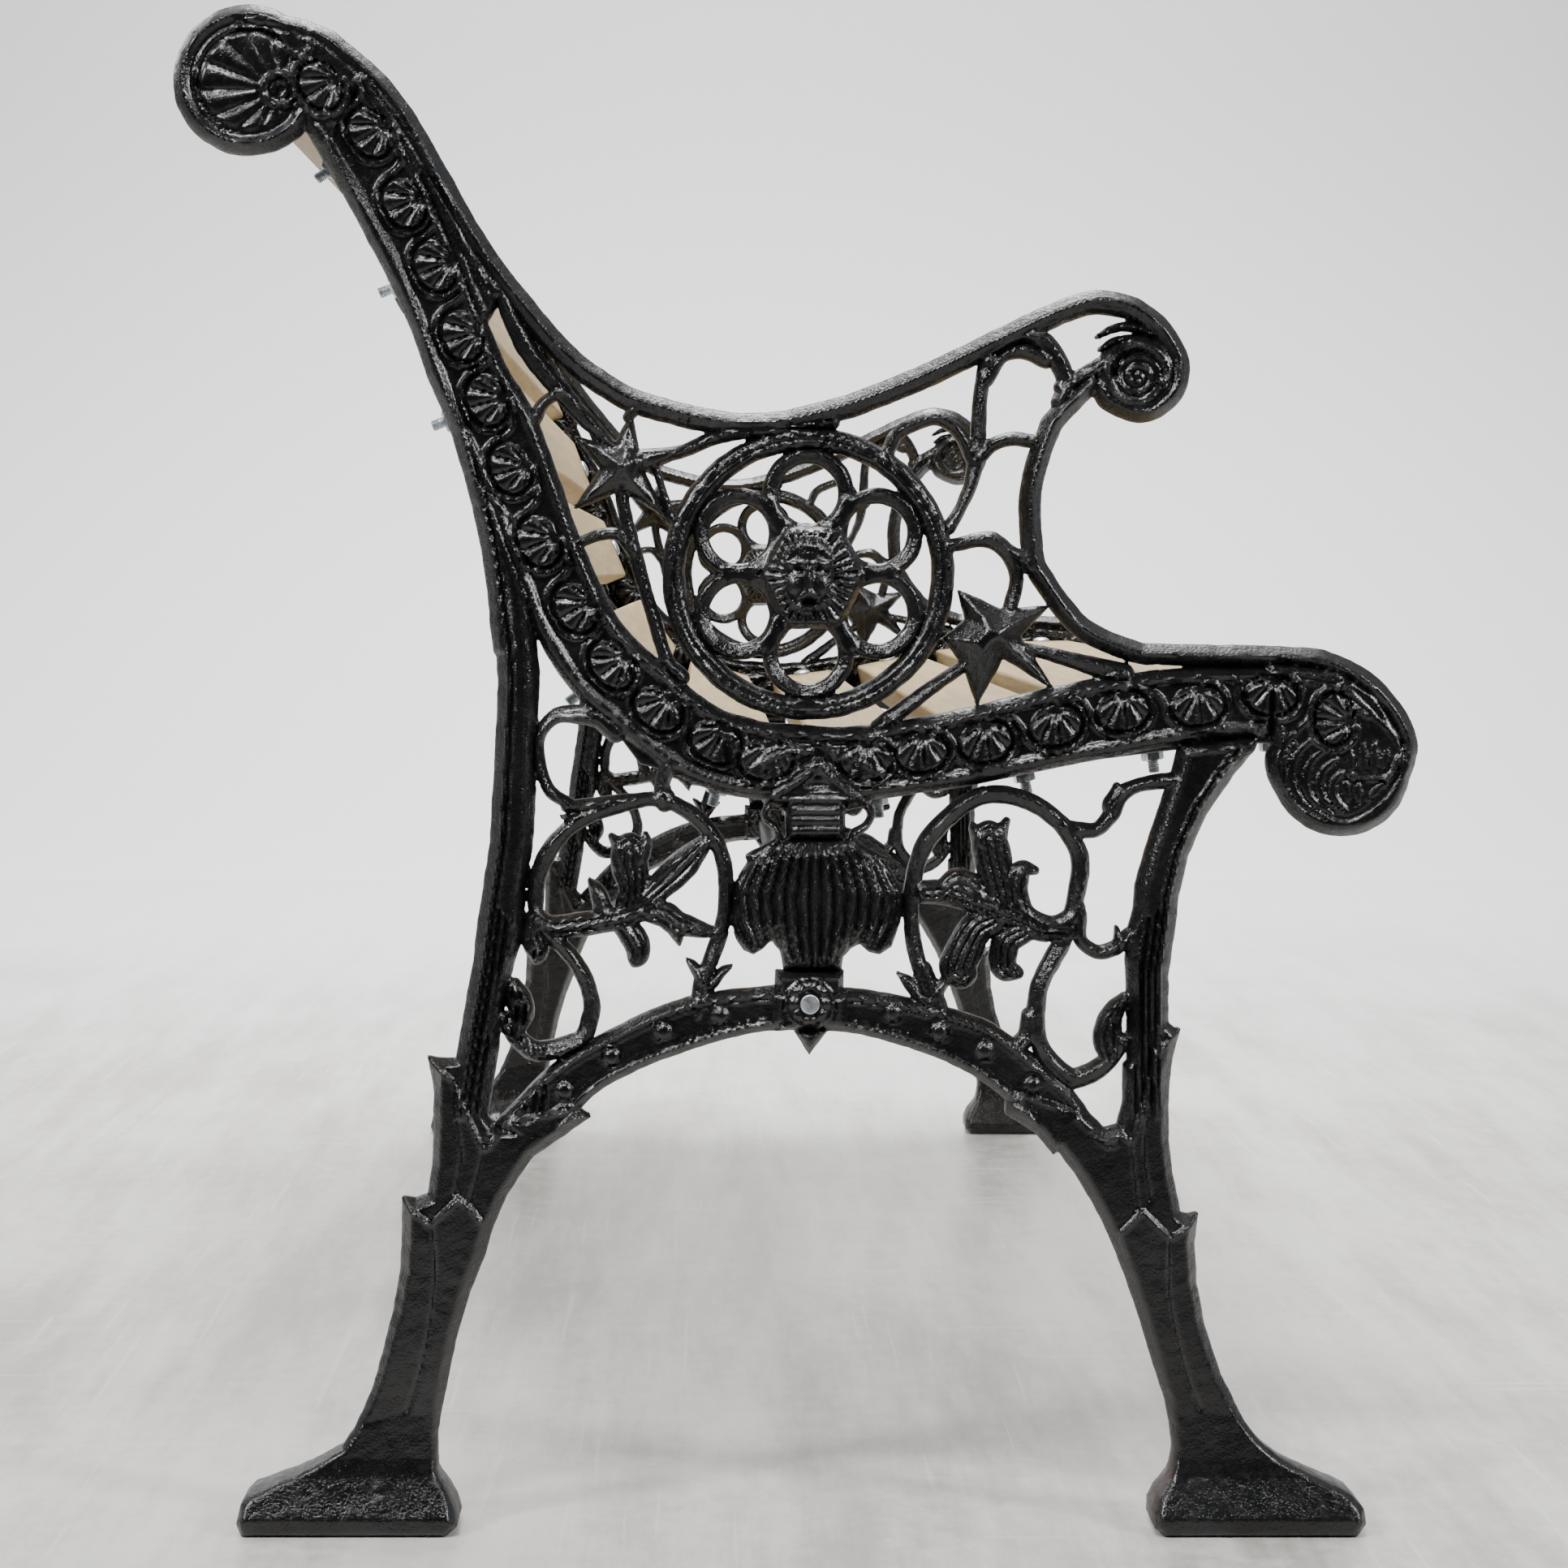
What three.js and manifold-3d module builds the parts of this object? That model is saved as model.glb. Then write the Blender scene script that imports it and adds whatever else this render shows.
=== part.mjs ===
// A cast-iron garden bench: two openwork end castings, eleven wooden slats bolted to the ledge that
// each casting carries along its inner face, and a tie rod between the crowns of the two arches.
//
// Millimetres, +Z up. The bench stands on Z = 0 with its origin under the middle, and a person sits
// on it facing -Y. X runs along the slats, with the sitter's right hand end at -X.
//
// The casting is drawn in its own plane as [forward, up], and extruded along its thickness.
import * as THREE from 'three';
import { mergeVertices } from 'three/addons/utils/BufferGeometryUtils.js';
import Module from 'manifold-3d';

const wasm = await Module();
wasm.setup();

// ---- driving sizes ----------------------------------------------------------------------------

const overallLength = 1220; // along X, over the feet
const overallDepth = 620; // along Y, scroll to scroll
const overallHeight = 760;
const gap = 0.3; // between pieces that touch

const frameThickness = 18; // legs, rims, arch and medallion ring
const plateThickness = 13; // the sunk field of the ornamental band
const ribThickness = 12; // openwork scrolls, leaves, petals and stars
const bossThickness = 25; // mask, vase and arch-crown boss stand proud of the frame
const bandRim = 7; // raised border along both edges of the band

const footWidth = 42; // along X, on the floor
const footBlockHeight = 9; // the foot's upright lower edge
const footFlareHeight = 36; // where the foot has narrowed to the leg

const ledgeWidth = 32; // along X, inwards from the casting's inner face
const ledgeThickness = 7;

const slatThickness = 20;
const slatGap = 6; // the least gap between two slats
const slatEdge = 2.5; // chamfer
const slatEndGap = 1; // slat end to casting

const boltDiameter = 6;
const boltClearance = 0.6; // of a hole, on the diameter
const boltInset = 15; // bolt to the casting's inner face
const boltHeadDiameter = 14;
const boltHeadHeight = 3.2;
const boltTail = 6.5; // thread showing past the nut
const nutAcrossFlats = 10;
const nutHeight = 5;

const tieRodDiameter = 12;
const tieScrewDiameter = 5;
const tieScrewHeadDiameter = 9.5;
const tieScrewHeadHeight = 2.6;
const tieScrewSlot = 1.2;
const tieScrewReach = 22; // thread inside the tie rod

// ---- derived places ---------------------------------------------------------------------------

const castingX = overallLength / 2 - footWidth / 2; // middle plane of a casting
const innerFace = castingX - frameThickness / 2;
const roundSides = 10; // facets round a bolt or a bolt hole
const chordError = 0.8; // how far a straight facet may stray from a curve

// The drawing of the casting is 620 deep and 760 high; this fits it to the overall sizes.
const drawnDepth = 620;
const drawnHeight = 760;
const place = ([forward, up]) => new THREE.Vector2(
  forward * overallDepth / drawnDepth,
  up * overallHeight / drawnHeight,
);

// ---- the drawing of the casting: [forward, up] or, for a rib, [forward, up, width] --------------

// Two scrolls joined by the band that follows the slats, given by its rear and its front edge.
const bandRear = [
  [-239, 687], [-221, 656], [-203, 624], [-189, 589], [-174, 549], [-161, 521], [-146, 484],
  [-132, 449], [-114, 420], [-89, 397], [-62, 377], [-31, 366], [3, 363], [36, 364], [82, 371],
  [128, 380], [177, 389], [209, 394], [238, 395],
];
const bandFront = [
  [-217, 727], [-193, 691], [-174, 650], [-159, 613], [-145, 581], [-131, 557], [-118, 522],
  [-106, 489], [-88, 453], [-65, 431], [-42, 412], [-19, 404], [3, 402], [27, 401], [74, 408],
  [124, 420], [169, 428], [209, 431], [241, 431],
];
const topScroll = { centre: [-273.5, 723.5], radius: 36.5 };
const topNeck = [
  [-260, 757], [-242, 750], [-220, 737], [-195, 712], [-177, 683], [-193, 670], [-221, 656],
  [-239, 687], [-247, 701], [-252, 711],
];
const seatScroll = { centre: [271.5, 381.5], radius: 34 };
const seatNeck = [
  [233, 435], [270, 431], [290, 419], [304, 397], [304, 381], [296, 365], [272, 352],
  [249, 359], [239, 379], [236, 395],
];
const armScroll = { centre: [169.5, 576], radius: 20 };

// The legs have pointed leaf tips, so their outlines are straight from point to point.
const rearLeg = [
  [-172, 543], [-164, 520], [-158, 490], [-154, 462], [-151, 440], [-150, 420], [-152, 378],
  [-154, 343], [-159, 311], [-163, 280], [-167, 258], [-171, 235], [-176, 235], [-185, 236],
  [-182, 219], [-182, 200], [-183, 181], [-185, 167], [-191, 165], [-198, 166], [-198, 142],
  [-199, 129], [-202, 110], [-207, 91], [-212, 72], [-222, 49], [-228, 41], [-243, 32],
  [-260, 25], [-272, 20], [-277, 15], [-279, 6], [-276, 0],
  [-175, 0], [-169, 5], [-171, 13], [-175, 21], [-180, 30], [-180, 47], [-177, 64], [-171, 93],
  [-164, 117], [-156, 137], [-152, 151], [-145, 167], [-132, 186], [-117, 196], [-103, 206],
  [-110, 211], [-118, 211], [-135, 201], [-150, 201], [-155, 206], [-151, 228], [-147, 258],
  [-142, 281], [-137, 296], [-136, 320], [-133, 337], [-131, 360], [-130, 399], [-129, 428],
  [-131, 452], [-132, 480], [-135, 505],
];
const frontLeg = [
  [233, 397], [229, 389], [218, 376], [205, 357], [196, 337], [191, 316], [189, 298],
  [186, 277], [186, 253], [189, 250], [192, 250], [188, 236], [186, 216], [186, 194],
  [188, 177], [192, 158], [196, 157], [201, 158], [199, 143], [200, 123], [204, 101],
  [212, 77], [216, 69], [224, 53], [231, 44], [241, 36], [257, 28], [269, 23], [276, 19],
  [281, 13], [282, 6], [277, 0],
  [182, 0], [177, 4], [177, 12], [180, 19], [186, 27], [188, 39], [187, 49], [184, 64],
  [178, 82], [173, 99], [165, 123], [156, 146], [148, 162], [139, 177], [129, 190],
  [118, 198], [104, 207], [104, 216], [113, 217], [140, 205], [153, 200], [160, 202],
  [163, 214], [163, 232], [165, 234], [165, 258], [164, 283], [165, 299], [168, 309],
  [169, 322], [175, 342], [184, 369], [187, 377], [191, 393],
];
const archUpper = [
  [-152, 202], [-125, 230], [-100, 246], [-57, 265], [-11, 271], [24, 270], [52, 266],
  [89, 256], [107, 246], [137, 220], [147, 207], [156, 198],
];
const archLower = [
  [-131, 187], [-114, 201], [-109, 209], [-97, 220], [-80, 229], [-57, 238], [-34, 245],
  [-11, 249], [24, 248], [53, 241], [81, 230], [104, 214], [128, 187],
];

const rims = [
  // over the back, down to the arm and round the arm's scroll
  [[-274, 754, 12], [-260, 752, 12], [-242, 747, 12], [-228, 738, 12], [-200, 710, 12],
    [-161, 643, 12], [-137, 611, 12], [-116, 587, 12], [-95, 571, 12], [-76, 562, 12],
    [-28, 552, 12], [14, 558, 12], [61, 575, 12], [131, 608, 12], [157, 613, 12],
    [177, 604, 12], [190, 585, 12], [187, 568, 12], [173, 559, 12], [158, 564, 12],
    [153, 570, 12]],
  // down the rear edge of the back
  [[-239, 701, 11], [-196, 619, 11], [-179, 575, 11], [-167, 546, 11], [-153, 491, 11],
    [-147, 440, 11]],
  // from the arm down to the seat and round the seat's scroll
  [[147, 573, 11], [131, 557, 11], [125, 547, 11], [117, 519, 11], [118, 488, 11],
    [123, 475, 11], [142, 451, 11], [167, 439, 11], [185, 437, 11], [249, 435, 11],
    [268, 431, 11], [285, 420, 11], [297, 408, 11], [304.5, 396, 11], [304.5, 386, 11],
    [300, 374, 11], [292, 363, 11], [272, 353, 11], [248, 366, 11], [240, 382, 11],
    [243, 391, 11]],
];

const medallion = { centre: [5.5, 477.5], radius: 67.5, width: 11.5 };
const petals = { count: 6, distance: 40, radius: 19, width: 8 };
const mask = [[-7, 502], [22, 502], [35, 477], [22, 450], [-7, 450], [-20, 477]];

const stars = [
  [[-83, 560], [-79, 540], [-43, 543], [-76, 528], [-64, 504], [-88, 519], [-113, 509],
    [-99, 530], [-113, 547], [-92, 542]],
  [[80, 470], [102, 460], [127, 462], [112, 446], [129, 419], [103, 435], [90, 411],
    [83, 431], [73, 445], [84, 455]],
];

const armPanelRibs = [
  [[-73, 536, 5], [-59, 538, 6], [-33, 548, 8], [6, 548, 6]],
  [[-72, 534, 4], [-65, 512, 4], [-61, 502, 4]],
  [[-84, 557, 6], [-82, 561, 7], [-79, 566, 8]],
  [[-149, 621, 8], [-140, 599, 10], [-131, 584, 10], [-109, 558, 9], [-100, 549, 6]],
  [[-131, 556, 7], [-127, 563, 6], [-119, 568, 6], [-113, 565, 6]],
  [[-88, 519, 7], [-85, 502, 7], [-67, 439, 7]],
  [[-107, 494, 6], [-99, 497, 6], [-90, 497, 6], [-83, 489, 6]],
  [[157, 583, 11], [146, 578, 9], [135, 572, 9]],
  [[95, 582, 9], [92, 568, 7], [90, 537, 8], [87, 523, 7], [82, 511, 6], [77, 502, 7]],
  [[96, 576, 7], [103, 586, 6], [113, 589, 8], [123, 585, 8]],
  [[116, 597, 9], [126, 591, 10], [135, 574, 9], [132, 565, 8]],
  [[91, 535, 7], [98, 542, 7], [107, 545, 7], [117, 544, 7]],
  [[45, 538, 7], [51, 548, 7], [67, 555, 7], [76, 553, 7], [83, 545, 7], [88, 535, 7]],
  [[79, 492, 7], [89, 494, 7], [98, 494, 9], [106, 487, 8], [110, 475, 7], [106, 458, 7]],
  [[106, 489, 7], [113, 484, 7], [117, 480, 7]],
  [[110, 441, 6], [127, 437, 7], [161, 428, 11]],
  [[87, 434, 6], [64, 418, 7], [52, 409, 8]],
  [[17, 553, 6], [-3, 552, 8], [-24, 551, 9]],
];

const rearPanelRibs = [
  [[-93, 400, 11], [-99, 405, 10], [-108, 407, 10], [-121, 406, 8], [-129, 396, 6],
    [-129, 382, 6], [-124, 369, 6], [-114, 362, 6]],
  [[-114, 361, 6], [-97, 362, 8], [-83, 364, 7], [-66, 366, 6]],
  [[-131, 301, 7], [-129, 329, 9], [-112, 352, 8], [-83, 363, 8], [-67, 364, 7],
    [-56, 359, 8], [-46, 351, 8], [-39, 340, 8], [-36, 327, 8], [-36, 311, 8],
    [-39, 296, 8], [-44, 282, 8]],
  [[-44, 282, 8], [-47, 275, 9], [-50, 259, 8]],
  [[-64, 382, 10], [-67, 375, 8], [-68, 369, 8], [-67, 365, 9]],
  [[-48, 275, 6], [-52, 281, 5], [-56, 285, 1]],
  [[-43, 272, 6], [-38, 278, 5], [-33, 281, 1]],
  [[-118, 356, 2], [-112, 355, 6], [-106, 358, 5]],
  [[-125, 297, 7], [-116, 289, 8], [-108, 278, 8], [-104, 268, 8], [-103, 258, 9],
    [-107, 246, 9], [-117, 239, 8]],
  [[-114, 242, 9], [-123, 239, 10], [-133, 239, 10], [-141, 246, 9], [-146, 253, 8]],
];
const rearPanelLeaves = [
  [[-131, 305, 8], [-124, 301, 8], [-114, 301, 9], [-89, 305, 9], [-76, 310, 9]],
  [[-96, 304, 8], [-100, 318, 6], [-104, 324, 1]],
  [[-84, 311, 11], [-82, 321, 12], [-84, 335, 15], [-84, 340, 12]],
  [[-76, 314, 9], [-59, 330, 12], [-46, 343, 6]],
  [[-79, 309, 7], [-67, 307, 10], [-59, 302, 9], [-42, 298, 4]],
  [[-62, 301, 6], [-60, 297, 5], [-59, 292, 1]],
  [[-88, 303, 9], [-83, 297, 10], [-80, 291, 10], [-80, 286, 8], [-82, 282, 2]],
  [[-133, 301, 6], [-132, 294, 9], [-130, 288, 8], [-131, 283, 2]],
  [[-142, 271, 6], [-139, 263, 10], [-138, 256, 9], [-140, 248, 4]],
];

const frontPanelRibs = [
  [[64, 273, 9], [59, 289, 8], [57, 307, 8], [58, 323, 8], [63, 340, 9], [74, 354, 9],
    [89, 365, 9], [103, 367, 9], [117, 363, 9], [129, 355, 9], [138, 344, 9], [142, 331, 9],
    [138, 307, 8]],
  [[139, 309, 8], [135, 305, 7], [128, 302, 8], [119, 305, 8], [112, 310, 10]],
  [[64, 277, 9], [67, 269, 10], [69, 262, 12]],
  [[64, 265, 9], [58, 271, 8], [51, 277, 2]],
  [[68, 264, 8], [72, 271, 6], [78, 278, 4]],
  [[137, 304, 9], [132, 292, 9], [121, 269, 9], [121, 243, 9], [135, 226, 10],
    [146, 227, 10], [155, 233, 9], [162, 242, 8]],
  [[116, 254, 8], [115, 246, 9], [111, 241, 9]],
  [[141, 305, 8], [142, 294, 7], [150, 288, 7], [159, 290, 7], [165, 295, 8]],
  [[161, 295, 5], [160, 300, 2]],
  [[135, 350, 8], [143, 349, 8], [151, 350, 7], [158, 358, 8], [162, 367, 8],
    [173, 372, 7], [187, 374, 8]],
  [[157, 357, 6], [156, 362, 6], [160, 370, 4]],
];
const frontPanelLeaves = [
  [[135, 299, 9], [122, 300, 10], [110, 306, 11], [79, 317, 10], [64, 318, 9]],
  [[103, 314, 12], [98, 335, 15], [96, 347, 14]],
  [[112, 309, 9], [109, 318, 10], [110, 325, 9], [113, 330, 6], [119, 329, 3]],
  [[89, 316, 12], [81, 321, 14], [72, 317, 8], [64, 320, 4]],
  [[97, 304, 12], [89, 299, 13], [81, 282, 15], [82, 278, 13]],
  [[112, 298, 10], [105, 294, 11], [103, 286, 11], [104, 280, 10], [110, 278, 5]],
  [[164, 265, 4], [159, 259, 7], [156, 251, 10], [156, 243, 12], [157, 236, 6]],
];

// The vase that stands on the crown of the arch and holds the band up.
const vase = [
  [-6, 345], [-23, 337], [-27, 330], [-31, 323], [-33, 314], [-33, 303], [-31, 295],
  [-27, 289], [-22, 287], [-17, 290], [-13, 294], [-9, 289], [-7, 279], [22, 279],
  [23, 286], [27, 290], [31, 292], [36, 288], [41, 287], [47, 291], [49, 296], [52, 304],
  [53, 314], [51, 321], [48, 328], [42, 335], [26, 345],
];
const vaseNeck = [[-6, 366], [24, 366], [24, 344], [-6, 344]];
const vaseCollar = [[-16, 376], [36, 376], [35, 362], [27, 361], [-7, 361], [-17, 362]];
const vaseHandles = [
  [[-6, 361, 4], [-14, 361, 4], [-16, 355, 4], [-11, 350, 4], [-10, 344, 4], [-23, 336, 4]],
  [[24, 361, 4], [33, 362, 4], [37, 357, 4], [34, 351, 4], [28, 347, 4], [30, 341, 4],
    [43, 334, 4]],
];
const archBoss = [[-11, 279], [23, 279], [23, 249], [-11, 249]];
const archBossHeight = 263.5; // of the tie rod
const archBossForward = 6;
const pendant = [[-3, 250], [16, 250], [6, 237]];

// The line that the slats lie on: each slat has one straight stretch, from the top of the back to
// the front of the seat.
const backSlatCount = 6;
const seatLine = [
  [-300.5, 741], [-248, 716], [-209, 661.5], [-180, 593], [-154.5, 525], [-127, 458], [-75, 388],
  [0, 367], [80, 377], [148, 391], [212, 399], [270, 400],
].map(place);

// ---- outlines ---------------------------------------------------------------------------------

// Leaves out the points of a line that a straight stretch can do without.
function thinned(points) {
  if (points.length < 3) return points;
  const first = points[0];
  const last = points[points.length - 1];
  const chord = last.clone().sub(first);
  let furthest = 0;
  let distance = chordError;
  for (let i = 1; i < points.length - 1; i += 1) {
    const offset = points[i].clone().sub(first);
    const along = THREE.MathUtils.clamp(offset.dot(chord) / (chord.lengthSq() || 1), 0, 1);
    const away = offset.sub(chord.clone().multiplyScalar(along)).length();
    if (away > distance) {
      furthest = i;
      distance = away;
    }
  }
  if (!furthest) return [first, last];
  return [...thinned(points.slice(0, furthest + 1)).slice(0, -1),
    ...thinned(points.slice(furthest))];
}

const smooth = (points) => thinned(new THREE.SplineCurve(points.map(place))
  .getPoints(points.length * 4));

// One edge of a rib, with no loop where the rib bends tighter than its own half width.
function ribEdge(middle, side) {
  const edge = [];
  middle.forEach(({ at, along, half }) => {
    const point = new THREE.Vector2(-along.y, along.x).multiplyScalar(side * half).add(at);
    const last = edge[edge.length - 1];
    if (!last || point.clone().sub(last).dot(along) > 0) edge.push(point);
  });
  return thinned(edge);
}

// A rib follows a smooth line through its points; the third number is its width. Each end comes to
// a point half a width past the last place, inside whatever the rib runs into.
function ribOutline(points) {
  const curve = new THREE.CatmullRomCurve3(
    points.map(([forward, up, width]) => new THREE.Vector3(forward, up, width)),
  );
  const steps = points.length * 4;
  const middle = [];
  for (let i = 0; i <= steps; i += 1) {
    const { x, y, z } = curve.getPoint(i / steps);
    const tangent = curve.getTangent(i / steps);
    middle.push({
      at: new THREE.Vector2(x, y),
      along: new THREE.Vector2(tangent.x, tangent.y).normalize(),
      half: z / 2,
    });
  }
  const tip = ({ at, along, half }, side) => at.clone().addScaledVector(along, side * half);
  return [
    ...ribEdge(middle, -1),
    tip(middle[steps], 1),
    ...ribEdge(middle, 1).reverse(),
    tip(middle[0], -1),
  ].map(({ x, y }) => place([x, y]));
}

const circle = ([forward, up], radius, corners) => Array.from({ length: corners }, (_, i) => {
  const angle = 2 * Math.PI * i / corners;
  return place([forward + radius * Math.cos(angle), up + radius * Math.sin(angle)]);
});

// ---- solids -----------------------------------------------------------------------------------

function solid(geometry) {
  geometry.deleteAttribute('normal');
  geometry.deleteAttribute('uv');
  const merged = mergeVertices(geometry, 1e-4);
  return new wasm.Manifold(new wasm.Mesh({
    numProp: 3,
    vertProperties: merged.attributes.position.array,
    triVerts: new Uint32Array(merged.index.array),
  }));
}

function geometryOf(manifold) {
  const mesh = manifold.getMesh();
  const geometry = new THREE.BufferGeometry();
  geometry.setAttribute('position', new THREE.BufferAttribute(mesh.vertProperties, 3));
  geometry.setIndex(new THREE.BufferAttribute(mesh.triVerts, 1));
  return geometry;
}

// An outline with a thickness, its middle on the casting's middle plane.
function plate(outline, thickness, hole) {
  const shape = new THREE.Shape(outline);
  if (hole) shape.holes.push(new THREE.Path(hole));
  const geometry = new THREE.ExtrudeGeometry(shape, { depth: thickness, bevelEnabled: false });
  return solid(geometry.translate(0, 0, -thickness / 2));
}

const joined = (solids) => solids.reduce((sum, next) => sum.add(next));

// A round bar along Z whose flats, not its corners, touch the given diameter.
function bar(diameter, from, to, sides = roundSides) {
  const radius = diameter / 2 / Math.cos(Math.PI / sides);
  const geometry = new THREE.CylinderGeometry(radius, radius, to - from, sides);
  return geometry.rotateX(Math.PI / 2).translate(0, 0, (from + to) / 2);
}

// ---- the casting ------------------------------------------------------------------------------

// The place of a slat: its middle on the seat line, the way down the slats, and the sitter's side.
const seats = seatLine.slice(1).map((end, i) => {
  const start = seatLine[i];
  const along = end.clone().sub(start).normalize();
  return {
    middle: start.clone().add(end).multiplyScalar(0.5),
    along,
    up: new THREE.Vector2(-along.y, along.x),
    length: start.distanceTo(end),
  };
});
const slatWidth = Math.min(...seats.map((seat) => seat.length)) - slatGap;

function bandSolid() {
  const rear = bandRear.map(place);
  const front = bandFront.map(place);
  const border = (edge, other) => {
    const inner = edge.map((point, i) => other[i].clone().sub(point)
      .setLength(bandRim).add(point));
    return plate([...edge, ...inner.reverse()], frameThickness);
  };
  return joined([
    plate([...rear, ...[...front].reverse()], plateThickness),
    border(rear, front),
    border(front, rear),
  ]);
}

function medallionSolid() {
  const ring = ({ centre, radius, width }, corners) => plate(
    circle(centre, radius + width / 2, corners),
    frameThickness,
    circle(centre, radius - width / 2, corners),
  );
  const solids = [ring(medallion, 30), plate(mask.map(place), bossThickness)];
  for (let i = 0; i < petals.count; i += 1) {
    const angle = Math.PI / 2 + 2 * Math.PI * i / petals.count;
    const centre = [
      medallion.centre[0] + petals.distance * Math.cos(angle),
      medallion.centre[1] + petals.distance * Math.sin(angle),
    ];
    solids.push(plate(
      circle(centre, petals.radius + petals.width / 2, 14),
      ribThickness,
      circle(centre, petals.radius - petals.width / 2, 12),
    ));
  }
  return joined(solids);
}

function vaseSolid() {
  return joined([
    plate(vase.map(place), bossThickness),
    plate(vaseNeck.map(place), frameThickness),
    plate(vaseCollar.map(place), plateThickness),
    ...vaseHandles.map((points) => plate(ribOutline(points), ribThickness)),
    plate(archBoss.map(place), bossThickness),
    plate(pendant.map(place), ribThickness),
  ]);
}

// The legs' feet spread along X, as a wedge that the leg's own outline bounds.
function footSolid(leg) {
  const wedge = new THREE.Shape([
    new THREE.Vector2(-footWidth / 2, 0),
    new THREE.Vector2(footWidth / 2, 0),
    new THREE.Vector2(footWidth / 2, footBlockHeight),
    new THREE.Vector2(frameThickness / 2, footFlareHeight),
    new THREE.Vector2(-frameThickness / 2, footFlareHeight),
    new THREE.Vector2(-footWidth / 2, footBlockHeight),
  ]);
  const spread = new THREE.ExtrudeGeometry(wedge, { depth: overallDepth, bevelEnabled: false });
  spread.translate(0, 0, -overallDepth / 2).rotateY(Math.PI / 2);
  return plate(leg.map(place), footWidth).intersect(solid(spread));
}

// The ledge that the slats lie on, from the casting's middle plane inwards, with its bolt holes.
function ledgeSolid() {
  const under = seatLine.map((point, i) => {
    const before = seats[Math.max(i - 1, 0)].up;
    const after = seats[Math.min(i, seats.length - 1)].up;
    const middle = before.clone().add(after).normalize();
    return point.clone().addScaledVector(middle, -ledgeThickness / middle.dot(before));
  });
  const reach = castingX - innerFace + ledgeWidth;
  const shape = new THREE.Shape([...seatLine, ...under.reverse()]);
  const geometry = new THREE.ExtrudeGeometry(shape, { depth: reach, bevelEnabled: false });
  return solid(geometry.translate(0, 0, -reach));
}

function ledgeHole(seat) {
  const geometry = bar(boltDiameter + boltClearance, -2 * ledgeThickness, ledgeThickness);
  geometry.applyMatrix4(new THREE.Matrix4().makeBasis(
    new THREE.Vector3(seat.along.x, seat.along.y, 0),
    new THREE.Vector3(0, 0, -1),
    new THREE.Vector3(seat.up.x, seat.up.y, 0),
  ));
  const inwards = castingX - innerFace + boltInset;
  return solid(geometry.translate(seat.middle.x, seat.middle.y, -inwards));
}

const tieRodAxis = place([archBossForward, archBossHeight]);

function castingSolid() {
  const discs = [topScroll, seatScroll, armScroll];
  const body = joined([
    bandSolid(),
    plate(rearLeg.map(place), frameThickness),
    plate(frontLeg.map(place), frameThickness),
    footSolid(rearLeg),
    footSolid(frontLeg),
    plate([...smooth(archUpper), ...smooth(archLower).reverse()], frameThickness),
    ...discs.map(({ centre, radius }) => plate(circle(centre, radius, 24), frameThickness)),
    plate(topNeck.map(place), frameThickness),
    plate(seatNeck.map(place), plateThickness),
    ...rims.map((points) => plate(ribOutline(points), frameThickness)),
    medallionSolid(),
    vaseSolid(),
    ...stars.map((points) => plate(points.map(place), ribThickness)),
    ...[armPanelRibs, rearPanelRibs, rearPanelLeaves, frontPanelRibs, frontPanelLeaves]
      .flat().map((points) => plate(ribOutline(points), ribThickness)),
    ledgeSolid(),
  ]);
  const tieHole = bar(tieScrewDiameter + boltClearance, -bossThickness, bossThickness);
  return [
    ...seats.map(ledgeHole),
    solid(tieHole.translate(tieRodAxis.x, tieRodAxis.y, 0)),
  ].reduce((sum, hole) => sum.subtract(hole), body);
}

// ---- wood and hardware: made upright, with Z = 0 on the face that they lie on ------------------

function slatGeometry() {
  const half = slatWidth / 2;
  const outline = new THREE.Shape([
    [-half + slatEdge, 0], [half - slatEdge, 0], [half, slatEdge],
    [half, slatThickness - slatEdge], [half - slatEdge, slatThickness],
    [-half + slatEdge, slatThickness], [-half, slatThickness - slatEdge], [-half, slatEdge],
  ].map(([y, z]) => new THREE.Vector2(y, z)));
  const length = 2 * (innerFace - slatEndGap);
  const board = new THREE.ExtrudeGeometry(outline, { depth: length, bevelEnabled: false });
  board.translate(0, 0, -length / 2);
  board.applyMatrix4(new THREE.Matrix4().makeBasis(
    new THREE.Vector3(0, 1, 0),
    new THREE.Vector3(0, 0, 1),
    new THREE.Vector3(1, 0, 0),
  ));
  const hole = () => bar(boltDiameter + boltClearance, -slatThickness, 2 * slatThickness);
  const boltX = innerFace - boltInset;
  return geometryOf(solid(board)
    .subtract(solid(hole().translate(boltX, 0, 0)))
    .subtract(solid(hole().translate(-boltX, 0, 0))));
}

// A carriage bolt, its domed head resting on the slat and its tail past the nut.
function boltGeometry() {
  const headBase = slatThickness + 2 * gap;
  const tail = -(ledgeThickness + gap + nutHeight + boltTail);
  const dome = boltHeadDiameter / 2;
  const shank = boltDiameter / 2;
  const profile = [
    [0, tail], [shank, tail], [shank, headBase], [dome, headBase],
    [dome * 0.75, headBase + boltHeadHeight * 0.7], [0, headBase + boltHeadHeight],
  ].map(([r, z]) => new THREE.Vector2(r, z));
  return new THREE.LatheGeometry(profile, roundSides).rotateX(Math.PI / 2);
}

function nutGeometry() {
  const corner = nutAcrossFlats / 2 / Math.cos(Math.PI / 6);
  const hexagon = new THREE.CylinderGeometry(corner, corner, nutHeight, 6);
  const top = -(ledgeThickness + gap);
  hexagon.rotateX(Math.PI / 2).translate(0, 0, top - nutHeight / 2);
  const bore = bar(boltDiameter + boltClearance, top - 2 * nutHeight, top + nutHeight);
  return geometryOf(solid(hexagon).subtract(solid(bore)));
}

// The tie rod lies along Z here, with a bore in each end for its screw.
const tieRodEnd = castingX - bossThickness / 2 - gap;

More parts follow.
